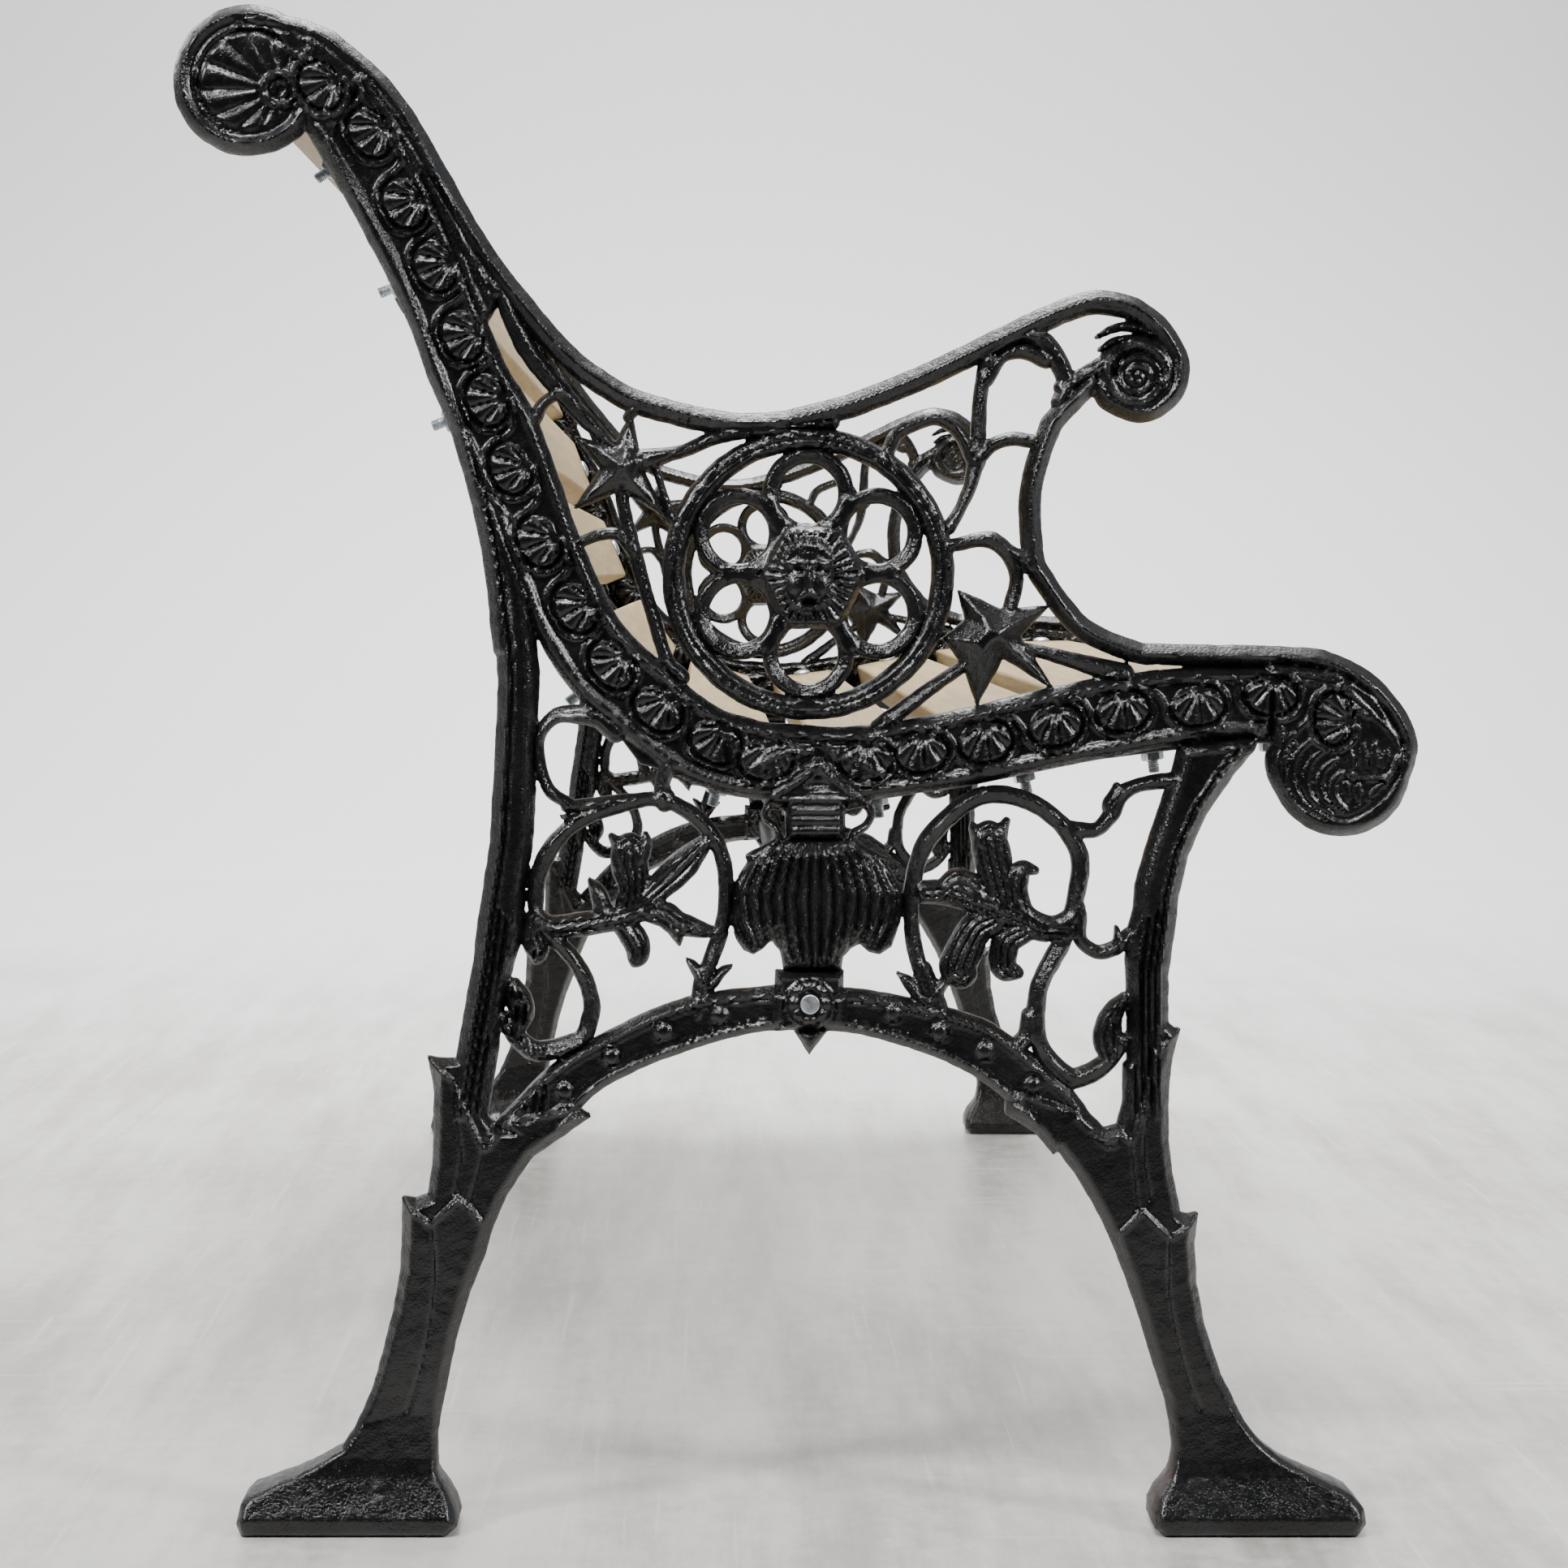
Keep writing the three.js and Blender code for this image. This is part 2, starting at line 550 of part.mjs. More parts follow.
function tieRodGeometry() {
  const bore = (from, to) => solid(bar(tieScrewDiameter + boltClearance, from, to));
  const depth = tieScrewReach + 2;
  return geometryOf(solid(bar(tieRodDiameter, -tieRodEnd, tieRodEnd, 16))
    .subtract(bore(tieRodEnd - depth, tieRodEnd + 1))
    .subtract(bore(-tieRodEnd - 1, -tieRodEnd + depth)));
}

// A slotted screw with Z = 0 under its head, pointing along -Z.
function tieScrewGeometry() {
  const length = gap + bossThickness + gap + tieScrewReach;
  const shank = bar(tieScrewDiameter * Math.cos(Math.PI / roundSides), -length, 0.5);
  const radius = tieScrewHeadDiameter / 2;
  const head = new THREE.CylinderGeometry(radius * 0.85, radius, tieScrewHeadHeight, 20);
  head.rotateX(Math.PI / 2).translate(0, 0, tieScrewHeadHeight / 2);
  const slot = new THREE.BoxGeometry(tieScrewHeadDiameter + 2, tieScrewSlot, tieScrewHeadHeight);
  slot.translate(0, 0, tieScrewHeadHeight);
  return geometryOf(solid(shank).add(solid(head)).subtract(solid(slot)));
}

// ---- assembly ---------------------------------------------------------------------------------

const enamel = { color: 0x0d0d0e, roughness: 0.32, metalness: 0.1 };
const wood = { color: 0xd6c6a4, roughness: 0.72, metalness: 0 };
const zinc = { color: 0xb9bdc0, roughness: 0.35, metalness: 1 };

function piece(name, geometry, look) {
  const mesh = new THREE.Mesh(geometry, new THREE.MeshStandardMaterial(look));
  mesh.name = name;
  return mesh;
}

// One end's casting. In its own plane X is forward, Y is up and Z is outwards.
function casting(name, geometry) {
  const mesh = piece(name, geometry, enamel);
  mesh.applyMatrix4(new THREE.Matrix4().makeBasis(
    new THREE.Vector3(0, -1, 0),
    new THREE.Vector3(0, 0, 1),
    new THREE.Vector3(-1, 0, 0),
  ).setPosition(-castingX, 0, 0));
  const end = new THREE.Group();
  end.add(mesh);
  return end;
}

// A slat with its bolts and nuts, on its own stretch of the seat line.
function slatGroup(name, seat) {
  const group = new THREE.Group();
  const slat = piece(name, slatShape, wood);
  slat.position.z = gap;
  group.add(slat);
  [['right', 1], ['left', -1]].forEach(([end, side]) => {
    const bolt = piece(`${name}_bolt_${end}`, boltShape, zinc);
    const nut = piece(`${name}_nut_${end}`, nutShape, zinc);
    [bolt, nut].forEach((mesh) => {
      mesh.position.x = side * (innerFace - boltInset);
      group.add(mesh);
    });
  });
  group.applyMatrix4(new THREE.Matrix4().makeBasis(
    new THREE.Vector3(-1, 0, 0),
    new THREE.Vector3(0, -seat.along.x, seat.along.y),
    new THREE.Vector3(0, -seat.up.x, seat.up.y),
  ).setPosition(0, -seat.middle.x, seat.middle.y));
  return group;
}

const castingShape = geometryOf(castingSolid());
const slatShape = slatGeometry();
const boltShape = boltGeometry();
const nutShape = nutGeometry();

const bench = new THREE.Group();
bench.name = 'garden_bench';
bench.add(casting('right_casting', castingShape));
const leftEnd = casting('left_casting', castingShape);
leftEnd.scale.x = -1;
bench.add(leftEnd);

seats.forEach((seat, i) => {
  const name = i < backSlatCount ? `back_slat_${i + 1}` : `seat_slat_${i + 1 - backSlatCount}`;
  bench.add(slatGroup(name, seat));
});

const tieRod = piece('tie_rod', tieRodGeometry(), enamel);
tieRod.rotation.y = Math.PI / 2;
const tie = new THREE.Group();
tie.add(tieRod);
[['right', -1], ['left', 1]].forEach(([end, side]) => {
  const screw = piece(`tie_screw_${end}`, tieScrewGeometry(), zinc);
  screw.rotation.y = side * Math.PI / 2;
  screw.position.x = side * (castingX + bossThickness / 2 + gap);
  tie.add(screw);
});
tie.position.set(0, -tieRodAxis.x, tieRodAxis.y);
bench.add(tie);

export default bench;
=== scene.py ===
import math

import bpy
import numpy as np
from mathutils import Matrix, Vector


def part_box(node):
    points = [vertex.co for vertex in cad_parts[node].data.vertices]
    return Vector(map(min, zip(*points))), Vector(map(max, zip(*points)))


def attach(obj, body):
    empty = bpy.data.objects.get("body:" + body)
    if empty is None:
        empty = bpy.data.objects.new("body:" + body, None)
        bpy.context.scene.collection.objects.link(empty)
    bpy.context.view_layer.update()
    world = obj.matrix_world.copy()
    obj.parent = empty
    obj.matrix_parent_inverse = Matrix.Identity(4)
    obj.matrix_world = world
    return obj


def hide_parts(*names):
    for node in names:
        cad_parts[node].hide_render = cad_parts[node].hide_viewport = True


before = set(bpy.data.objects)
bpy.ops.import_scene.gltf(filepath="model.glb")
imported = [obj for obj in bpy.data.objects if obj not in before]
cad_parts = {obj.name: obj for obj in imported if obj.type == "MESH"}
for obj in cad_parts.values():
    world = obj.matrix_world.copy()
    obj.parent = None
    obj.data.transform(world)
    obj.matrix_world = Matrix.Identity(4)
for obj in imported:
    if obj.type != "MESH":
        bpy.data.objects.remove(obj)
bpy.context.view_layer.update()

# ==== camera, light and floor ==============================
# A level camera looks along the slats at the sitter's right hand end, a little in front of the
# middle and above the seat. The film is shifted instead of the camera being tilted, so that every
# upright stays upright, and the far end shows through the near one.

end_low, end_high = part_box("right_casting")
outer_face = end_low.x + 0.012
camera_distance = 1.65
camera = bpy.data.objects.new("camera", bpy.data.cameras.new("camera"))
bpy.context.scene.collection.objects.link(camera)
camera.location = (outer_face - camera_distance, 0.0477, 0.4779)
camera.rotation_euler = (math.radians(90), 0, math.radians(-90))
camera.data.lens = 76
camera.data.shift_x = 0.0523
camera.data.shift_y = -0.1346
camera.data.clip_end = 60
bpy.context.scene.camera = camera


def lamp(name, place, target, size, watts, spread=180):
    light = bpy.data.lights.new(name, "AREA")
    light.shape = "RECTANGLE"
    light.size, light.size_y = size
    light.energy = watts
    light.spread = math.radians(spread)
    holder = bpy.data.objects.new(name, light)
    bpy.context.scene.collection.objects.link(holder)
    holder.location = place
    aim = Vector(target) - Vector(place)
    holder.rotation_euler = aim.to_track_quat("-Z", "Y").to_euler()


lamp("overhead", (0.6, 0.1, 3.2), (0.4, 0, 0.0), (3.2, 2.6), 34)
lamp("key", (-1.9, 1.9, 1.9), (-0.5, 0, 0.4), (0.3, 0.7), 9, spread=70)
lamp("side", (-1.7, -2.0, 1.5), (-0.5, 0, 0.4), (0.3, 0.7), 8, spread=70)
lamp("high", (-1.9, 0.3, 2.6), (-0.5, 0, 0.4), (0.7, 0.3), 8, spread=70)
lamp("behind", (1.4, 1.9, 1.9), (0.2, 0, 0.4), (1.4, 1.4), 26)
lamp("backdrop", (1.6, 0, 3.4), (4.2, 0, 0.8), (1.0, 4.0), 350)


class Value:
    """An output of a shader node. Sums, products and the like of it are Math nodes."""

    def __init__(self, socket):
        self.socket = socket

    def math(self, operation, *others):
        node = self.socket.id_data.nodes.new("ShaderNodeMath")
        node.operation = operation
        for entry, value in zip(node.inputs, (self, *others)):
            connect(value, entry)
        return Value(node.outputs[0])

    def __add__(self, other):
        return self.math("ADD", other)

    def __mul__(self, other):
        return self.math("MULTIPLY", other)

    __radd__ = __add__
    __rmul__ = __mul__

    def ramp(self, low, high, start=0.0, end=1.0):
        """start where this is low or less, end where it is high or more, and smooth between."""
        node = self.socket.id_data.nodes.new("ShaderNodeMapRange")
        node.interpolation_type = "SMOOTHSTEP"
        for entry, value in zip(node.inputs, (self, low, high, start, end)):
            connect(value, entry)
        return Value(node.outputs[0])


def connect(value, entry):
    if isinstance(value, Value):
        entry.id_data.links.new(value.socket, entry)
    elif isinstance(value, tuple) and len(value) == 3 and len(entry.default_value) == 4:
        entry.default_value = (*value, 1)
    else:
        entry.default_value = value


class Material:
    """A material's node tree: node() adds a node and gives one of its outputs."""

    def __init__(self, name):
        self.material = bpy.data.materials.new(name)
        self.material.use_nodes = True
        self.tree = self.material.node_tree
        self.shader = self.tree.nodes["Principled BSDF"]

    def node(self, kind, output=0, settings=(), **entries):
        node = self.tree.nodes.new("ShaderNode" + kind)
        for name, value in dict(settings).items():
            setattr(node, name, value)
        for name, value in entries.items():
            connect(value, node.inputs[name.replace("_", " ")])
        return Value(node.outputs[output])

    def place(self, scale=(1, 1, 1)):
        own = self.node("TexCoord", output="Object")
        return self.node("Mapping", Vector=own, Scale=scale)

    def noise(self, vector, scale, detail=3.0, roughness=0.5, distortion=0.0):
        return self.node("TexNoise", Vector=vector, Scale=scale, Detail=detail,
                         Roughness=roughness, Distortion=distortion)

    def mix(self, factor, first, second):
        node = self.tree.nodes.new("ShaderNodeMix")
        node.data_type = "RGBA"
        connect(factor, node.inputs[0])
        connect(first, node.inputs[6])
        connect(second, node.inputs[7])
        return Value(node.outputs[2])

    def bump(self, height, distance, strength):
        return self.node("Bump", Height=height, Distance=distance, Strength=strength)

    def finish(self, **entries):
        for name, value in entries.items():
            connect(value, self.shader.inputs[name.replace("_", " ")])


def mesh_object(name, vertices, faces, material, smooth=40):
    """faces is an array of quads, or a list of faces. Edges sharper than smooth degrees stay."""
    mesh = bpy.data.meshes.new(name)
    if isinstance(faces, np.ndarray):
        mesh.vertices.add(len(vertices))
        mesh.vertices.foreach_set("co", np.ascontiguousarray(vertices, np.float32).ravel())
        mesh.loops.add(faces.size)
        mesh.loops.foreach_set("vertex_index", faces.astype(np.int32).ravel())
        mesh.polygons.add(len(faces))
        mesh.polygons.foreach_set("loop_start", np.arange(0, faces.size, 4, dtype=np.int32))
        mesh.update(calc_edges=True)
    else:
        mesh.from_pydata([tuple(v) for v in vertices], [], faces)
        mesh.update()
    mesh.materials.append(material)
    mesh.polygons.foreach_set("use_smooth", np.ones(len(mesh.polygons), bool))
    mesh.set_sharp_from_angle(angle=math.radians(smooth))
    obj = bpy.data.objects.new(name, mesh)
    bpy.context.scene.collection.objects.link(obj)
    return obj


# The floor is pale worn concrete, and a plain paper backdrop curves up from it behind the bench.
# Painted shade darkens the floor towards the camera and the backdrop towards its top.
concrete = Material("concrete")
ground = concrete.place()
cloud = concrete.noise(ground, 1.6, 5, 0.6)
fine = concrete.noise(ground, 55, 8, 0.75)
streak = concrete.noise(concrete.place((0.6, 5.0, 1.0)), 3.5, 8, 0.7)
speck = concrete.noise(ground, 160, 2, 0.5).ramp(0.70, 0.76)
scratch = (concrete.noise(concrete.place((2.0, 90.0, 1.0)), 1.3, 2, 0.5).ramp(0.66, 0.69)
           + concrete.noise(concrete.place((70.0, 3.0, 1.0)), 1.1, 2, 0.5).ramp(0.68, 0.71))
shade = (0.35 * cloud + 0.4 * streak + 0.25 * fine).ramp(0.38, 0.60)
pale = concrete.mix(shade, (0.36, 0.345, 0.315), (0.66, 0.645, 0.62))
worn = concrete.mix(scratch * 0.25, pale, (0.80, 0.80, 0.78))
across_floor = concrete.node("SeparateXYZ", Vector=ground)
# Painted shade: from X -0.8 m towards the camera, the floor's colour darkens to near black by X
# -1.35 m.
painted_front_shade = across_floor.ramp(-1.35, -0.80, 1.0, 0.0)
spotted = concrete.mix(speck * 0.4, worn, (0.26, 0.23, 0.20))
spotted = concrete.mix(across_floor.ramp(0.6, 2.9), spotted, (0.86, 0.86, 0.86))
concrete.finish(
    Base_Color=concrete.mix(painted_front_shade, spotted, (0.09, 0.09, 0.088)),
    Roughness=fine.ramp(0.3, 0.7, 0.30, 0.46),
    Normal=concrete.bump(fine, 0.0005, 0.5),
)
paper = Material("backdrop_paper")
# Painted shade: the paper's colour darkens from 0.2 m up to 1.9 m, standing in for the light
# falling off up the backdrop.
height = paper.node("SeparateXYZ", output=2, Vector=paper.place()).ramp(0.2, 1.9)
paper.finish(Base_Color=paper.mix(height, (0.90, 0.90, 0.90), (0.58, 0.585, 0.60)),
             Roughness=paper.noise(paper.place(), 0.7, 1).ramp(0.3, 0.7, 0.85, 0.95))


def sweep(name, profile, half_width, material):
    points = [(x, y, z) for x, z in profile for y in (-half_width, half_width)]
    quads = [(2 * i, 2 * i + 1, 2 * i + 3, 2 * i + 2) for i in range(len(profile) - 1)]
    mesh_object(name, points, quads, material, 60)


sweep("floor", [(-9.0, 0.0), (2.9, 0.0)], 9.0, concrete.material)
curve_start, curve_radius, sweep_top = 2.9, 1.6, 6.0
curve = [(curve_start + curve_radius * math.sin(math.radians(turn)),
          curve_radius * (1 - math.cos(math.radians(turn)))) for turn in range(0, 91, 5)]
sweep("backdrop", curve + [(curve_start + curve_radius, sweep_top)], 9.0, paper.material)

# The studio is dark where the camera stands, and pale above, at the sides and behind the bench.
world = bpy.data.worlds.new("studio")
bpy.context.scene.world = world
world.use_nodes = True
surround = world.node_tree
direction = surround.nodes.new("ShaderNodeSeparateXYZ")
surround.links.new(surround.nodes.new("ShaderNodeTexCoord").outputs["Generated"],
                   direction.inputs[0])
strength = Value(direction.outputs["X"]).ramp(-0.80, 0.30, 0.02, 0.50)
connect(strength, surround.nodes["Background"].inputs["Strength"])
connect((0.93, 0.95, 1.0), surround.nodes["Background"].inputs["Color"])

# ==== the castings: drawing ================================
# Millimetres in the casting's own plane: (forward, up), or (forward, up, width) along a rib or a
# leaf. The origin is on the floor, under the middle of the bench's depth.

CELL = 1.1  # the relief's grid
band_rear = [
    (-239, 687), (-221, 656), (-203, 624), (-189, 589), (-174, 549), (-161, 521), (-146, 484),
    (-132, 449), (-114, 420), (-89, 397), (-62, 377), (-31, 366), (3, 363), (36, 364), (82, 371),
    (128, 380), (177, 389), (209, 394), (238, 395),
]
band_front = [
    (-217, 727), (-193, 691), (-174, 650), (-159, 613), (-145, 581), (-131, 557), (-118, 522),
    (-106, 489), (-88, 453), (-65, 431), (-42, 412), (-19, 404), (3, 402), (27, 401), (74, 408),
    (124, 420), (169, 428), (209, 431), (241, 431),
]
top_neck = [
    (-260, 757), (-242, 750), (-220, 737), (-195, 712), (-177, 683), (-193, 670), (-221, 656),
    (-239, 687), (-247, 701), (-252, 711),
]
seat_neck = [
    (233, 435), (270, 431), (290, 419), (304, 397), (304, 381), (296, 365), (272, 352),
    (249, 359), (239, 379), (236, 395),
]
rear_leg = [
    (-172, 543), (-164, 520), (-158, 490), (-154, 462), (-151, 440), (-150, 420), (-152, 378),
    (-154, 343), (-159, 311), (-163, 280), (-167, 258), (-171, 235), (-176, 235), (-185, 236),
    (-182, 219), (-182, 200), (-183, 181), (-185, 167), (-191, 165), (-198, 166), (-198, 142),
    (-199, 129), (-202, 110), (-207, 91), (-212, 72), (-222, 49), (-228, 41), (-243, 32),
    (-260, 25), (-272, 20), (-277, 15), (-279, 6), (-276, 0),
    (-175, 0), (-169, 5), (-171, 13), (-175, 21), (-180, 30), (-180, 47), (-177, 64), (-171, 93),
    (-164, 117), (-156, 137), (-152, 151), (-145, 167), (-132, 186), (-117, 196), (-103, 206),
    (-110, 211), (-118, 211), (-135, 201), (-150, 201), (-155, 206), (-151, 228), (-147, 258),
    (-142, 281), (-137, 296), (-136, 320), (-133, 337), (-131, 360), (-130, 399), (-129, 428),
    (-131, 452), (-132, 480), (-135, 505),
]
front_leg = [
    (233, 397), (229, 389), (218, 376), (205, 357), (196, 337), (191, 316), (189, 298),
    (186, 277), (186, 253), (189, 250), (192, 250), (188, 236), (186, 216), (186, 194),
    (188, 177), (192, 158), (196, 157), (201, 158), (199, 143), (200, 123), (204, 101),
    (212, 77), (216, 69), (224, 53), (231, 44), (241, 36), (257, 28), (269, 23), (276, 19),
    (281, 13), (282, 6), (277, 0),
    (182, 0), (177, 4), (177, 12), (180, 19), (186, 27), (188, 39), (187, 49), (184, 64),
    (178, 82), (173, 99), (165, 123), (156, 146), (148, 162), (139, 177), (129, 190),
    (118, 198), (104, 207), (104, 216), (113, 217), (140, 205), (153, 200), (160, 202),
    (163, 214), (163, 232), (165, 234), (165, 258), (164, 283), (165, 299), (168, 309),
    (169, 322), (175, 342), (184, 369), (187, 377), (191, 393),
]
arch_upper = [
    (-152, 202), (-125, 230), (-100, 246), (-57, 265), (-11, 271), (24, 270), (52, 266),
    (89, 256), (107, 246), (137, 220), (147, 207), (156, 198),
]
arch_lower = [
    (-131, 187), (-114, 201), (-109, 209), (-97, 220), (-80, 229), (-57, 238), (-34, 245),
    (-11, 249), (24, 248), (53, 241), (81, 230), (104, 214), (128, 187),
]
back_rim = [
    (-274, 754), (-260, 752), (-242, 747), (-228, 738), (-200, 710), (-161, 643), (-137, 611),
    (-116, 587), (-95, 571), (-76, 562), (-28, 552), (14, 558), (61, 575), (131, 608),
    (157, 613), (177, 604), (190, 585), (187, 568), (173, 559), (158, 564), (153, 570),
]
rear_rim = [(-239, 701), (-196, 619), (-179, 575), (-167, 546), (-153, 491), (-147, 440)]
seat_rim = [
    (147, 573), (131, 557), (125, 547), (117, 519), (118, 488), (123, 475), (142, 451),
    (167, 439), (185, 437), (249, 435.5), (268, 432), (283.5, 424), (296, 411.5), (304, 397),
    (304.5, 386), (300, 374), (292, 363), (272, 353), (248, 366), (240, 382), (243, 391),
]
stars = [
    [(-83, 560), (-79, 540), (-43, 543), (-76, 528), (-64, 504), (-88, 519), (-113, 509),
     (-99, 530), (-113, 547), (-92, 542)],
    [(80, 470), (102, 460), (127, 462), (112, 446), (129, 419), (103, 435), (90, 411),
     (83, 431), (73, 445), (84, 455)],
]
vase = [
    (-6, 345), (-23, 337), (-27, 330), (-31, 323), (-33, 314), (-33, 303), (-31, 295),
    (-27, 289), (-22, 287), (-17, 290), (-13, 294), (-9, 289), (-7, 279), (22, 279),
    (23, 286), (27, 290), (31, 292), (36, 288), (41, 287), (47, 291), (49, 296), (52, 304),
    (53, 314), (51, 321), (48, 328), (42, 335), (26, 345),
]
ribs = [
    # between the arm, the back and the seat
    [(-73, 536, 5), (-59, 538, 6), (-33, 548, 8), (6, 548, 6)],
    [(-72, 534, 4), (-65, 512, 4), (-61, 502, 4)],
    [(-84, 557, 6), (-82, 560, 7), (-81, 562, 6)],
    [(-149, 621, 8), (-140, 599, 10), (-131, 584, 10), (-109, 558, 9), (-100, 549, 7),
     (-91, 540, 6)],
    [(-131, 556, 7), (-127, 563, 6), (-119, 568, 6), (-113, 565, 6)],
    [(-88, 519, 7), (-85, 502, 7), (-67, 439, 7), (-59, 427, 8)],
    [(-107, 494, 6), (-99, 497, 6), (-90, 497, 6), (-83, 489, 6)],
    [(157, 583, 11), (146, 578, 9), (135, 572, 9)],
    [(95, 582, 9), (92, 568, 7), (90, 537, 8), (87, 523, 7), (82, 511, 6), (77, 502, 7)],
    [(96, 576, 7), (103, 586, 6), (113, 589, 8), (123, 585, 8)],
    [(116, 597, 9), (126, 591, 10), (135, 574, 9), (132, 565, 8)],
    [(91, 535, 7), (98, 542, 7), (107, 545, 7), (117, 544, 7)],
    [(45, 538, 7), (51, 548, 7), (67, 555, 7), (76, 553, 7), (83, 545, 7), (88, 535, 7)],
    [(79, 492, 7), (89, 494, 7), (98, 494, 9), (106, 487, 8), (110, 475, 7), (106, 458, 7)],
    [(106, 489, 7), (113, 484, 7), (117, 480, 7)],
    [(110, 441, 6), (127, 437, 7), (161, 428, 11)],
    [(87, 434, 6), (64, 418, 7), (52, 409, 8), (42, 402, 8)],
    [(17, 553, 6), (-3, 552, 8), (-24, 551, 9)],
    # under the seat, behind the vase
    [(-93, 400, 11), (-99, 405, 10), (-108, 407, 10), (-121, 406, 8), (-129, 396, 6),
     (-129, 382, 6), (-124, 369, 6), (-114, 362, 6)],
    [(-114, 361, 6), (-97, 362, 8), (-83, 364, 7), (-66, 366, 6)],
    [(-131, 301, 7), (-129, 329, 9), (-112, 352, 8), (-83, 363, 8), (-67, 364, 7),
     (-56, 359, 8), (-46, 351, 8), (-39, 340, 8), (-36, 327, 8), (-36, 311, 8),
     (-39, 296, 8), (-44, 282, 8)],
    [(-44, 282, 8), (-47, 275, 9), (-50, 259, 8)],
    [(-64, 382, 10), (-67, 375, 8), (-68, 369, 8), (-67, 365, 9)],
    [(-48, 275, 6), (-52, 281, 5), (-56, 285, 1)],
    [(-43, 272, 6), (-38, 278, 5), (-33, 281, 1)],
    [(-118, 356, 2), (-112, 355, 6), (-106, 358, 5)],
    [(-125, 297, 7), (-116, 289, 8), (-108, 278, 8), (-104, 268, 8), (-103, 258, 9),
     (-107, 246, 9), (-117, 239, 8)],
    [(-114, 242, 9), (-123, 239, 10), (-133, 239, 10), (-141, 246, 9), (-146, 253, 8)],
    # under the seat, in front of the vase
    [(64, 273, 9), (59, 289, 8), (57, 307, 8), (58, 323, 8), (63, 340, 9), (74, 354, 9),
     (89, 365, 9), (103, 367, 9), (117, 363, 9), (129, 355, 9), (138, 344, 9), (142, 331, 9),
     (138, 307, 8)],
    [(139, 309, 8), (135, 305, 7), (128, 302, 8), (119, 305, 8), (112, 310, 10)],
    [(64, 277, 9), (67, 269, 10), (69, 262, 12)],
    [(64, 265, 9), (58, 271, 8), (51, 277, 2)],
    [(68, 264, 8), (72, 271, 6), (78, 278, 4)],
    [(137, 304, 9), (132, 292, 9), (121, 269, 9), (121, 243, 9), (135, 226, 10),
     (146, 227, 10), (155, 233, 9), (162, 242, 8)],
    [(116, 254, 8), (115, 246, 9), (111, 241, 9)],
    [(141, 305, 8), (142, 294, 7), (150, 288, 7), (159, 290, 7), (165, 295, 8)],
    [(161, 295, 5), (160, 300, 2)],
    [(135, 350, 8), (143, 349, 8), (151, 350, 7), (158, 358, 8), (162, 367, 8),
     (173, 372, 7), (187, 374, 8)],
    [(157, 357, 6), (156, 362, 6), (160, 370, 4)],
    # the vase's handles
    [(-6, 361, 4), (-14, 361, 4), (-16, 355, 4), (-11, 350, 4), (-10, 344, 4), (-23, 336, 4)],
    [(24, 361, 4), (33, 362, 4), (37, 357, 4), (34, 351, 4), (28, 347, 4), (30, 341, 4),
     (43, 334, 4)],
]
leaves = [
    [(-131, 305, 8), (-124, 301, 8), (-114, 301, 9), (-89, 305, 9), (-76, 310, 9)],
    [(-96, 304, 8), (-100, 318, 6), (-104, 324, 1)],
    [(-84, 311, 11), (-82, 321, 12), (-84, 332, 15), (-84, 338, 15)],
    [(-88, 334, 7), (-90, 342, 5), (-93, 346, 2)], [(-79, 334, 7), (-76, 342, 5), (-76, 347, 2)],
    [(-76, 314, 9), (-59, 330, 12), (-46, 343, 6)],
    [(-79, 309, 7), (-67, 307, 10), (-59, 302, 9), (-42, 298, 4)],
    [(-62, 301, 6), (-60, 297, 5), (-59, 292, 1)],
    [(-88, 303, 9), (-83, 297, 10), (-80, 291, 10), (-80, 286, 8), (-82, 282, 2)],
    [(-133, 301, 6), (-132, 294, 9), (-130, 288, 8), (-131, 283, 2)],
    [(-142, 271, 6), (-139, 263, 10), (-138, 256, 9), (-140, 248, 4)],
    [(135, 299, 9), (122, 300, 10), (110, 306, 11), (79, 317, 10), (64, 318, 9)],
    [(103, 314, 12), (98, 335, 15), (96, 345, 14)],
    [(92, 342, 6), (89, 349, 4), (88, 352, 2)], [(101, 343, 6), (103, 350, 4), (105, 354, 2)],
    [(112, 309, 9), (109, 318, 10), (110, 325, 9), (113, 330, 6), (119, 329, 3)],
    [(89, 316, 12), (81, 321, 14), (72, 317, 8), (64, 320, 4)],
    [(97, 304, 12), (89, 299, 13), (81, 282, 15), (82, 278, 13)],
    [(112, 298, 10), (105, 294, 11), (103, 286, 11), (104, 280, 10), (110, 278, 5)],
    [(164, 265, 4), (159, 259, 7), (156, 251, 10), (156, 243, 12), (157, 236, 6)],
]


# ==== the castings: relief =================================
# The relief is half the casting's thickness in millimetres over its own plane, on a grid. Each
# member of the casting adds its outline and its profile, and then ornament is raised or cut on it.


def spline(points, closed=False, pieces=8):
    """Points along a smooth line through the given ones."""
    given = np.array(points, float)
    if closed:
        padded = np.vstack([given[-1:], given, given[:2]])
    else:
        padded = np.vstack([2 * given[0] - given[1], given, 2 * given[-1] - given[-2]])
    t = np.linspace(0, 1, pieces, endpoint=False)[:, None]
    line = []
    for a, b, c, d in zip(padded, padded[1:], padded[2:], padded[3:]):
        line.append(0.5 * (2 * b + (c - a) * t + (2 * a - 5 * b + 4 * c - d) * t**2
                           + (3 * b - a - 3 * c + d) * t**3))
    return np.vstack(line + [padded[-2:-1]])


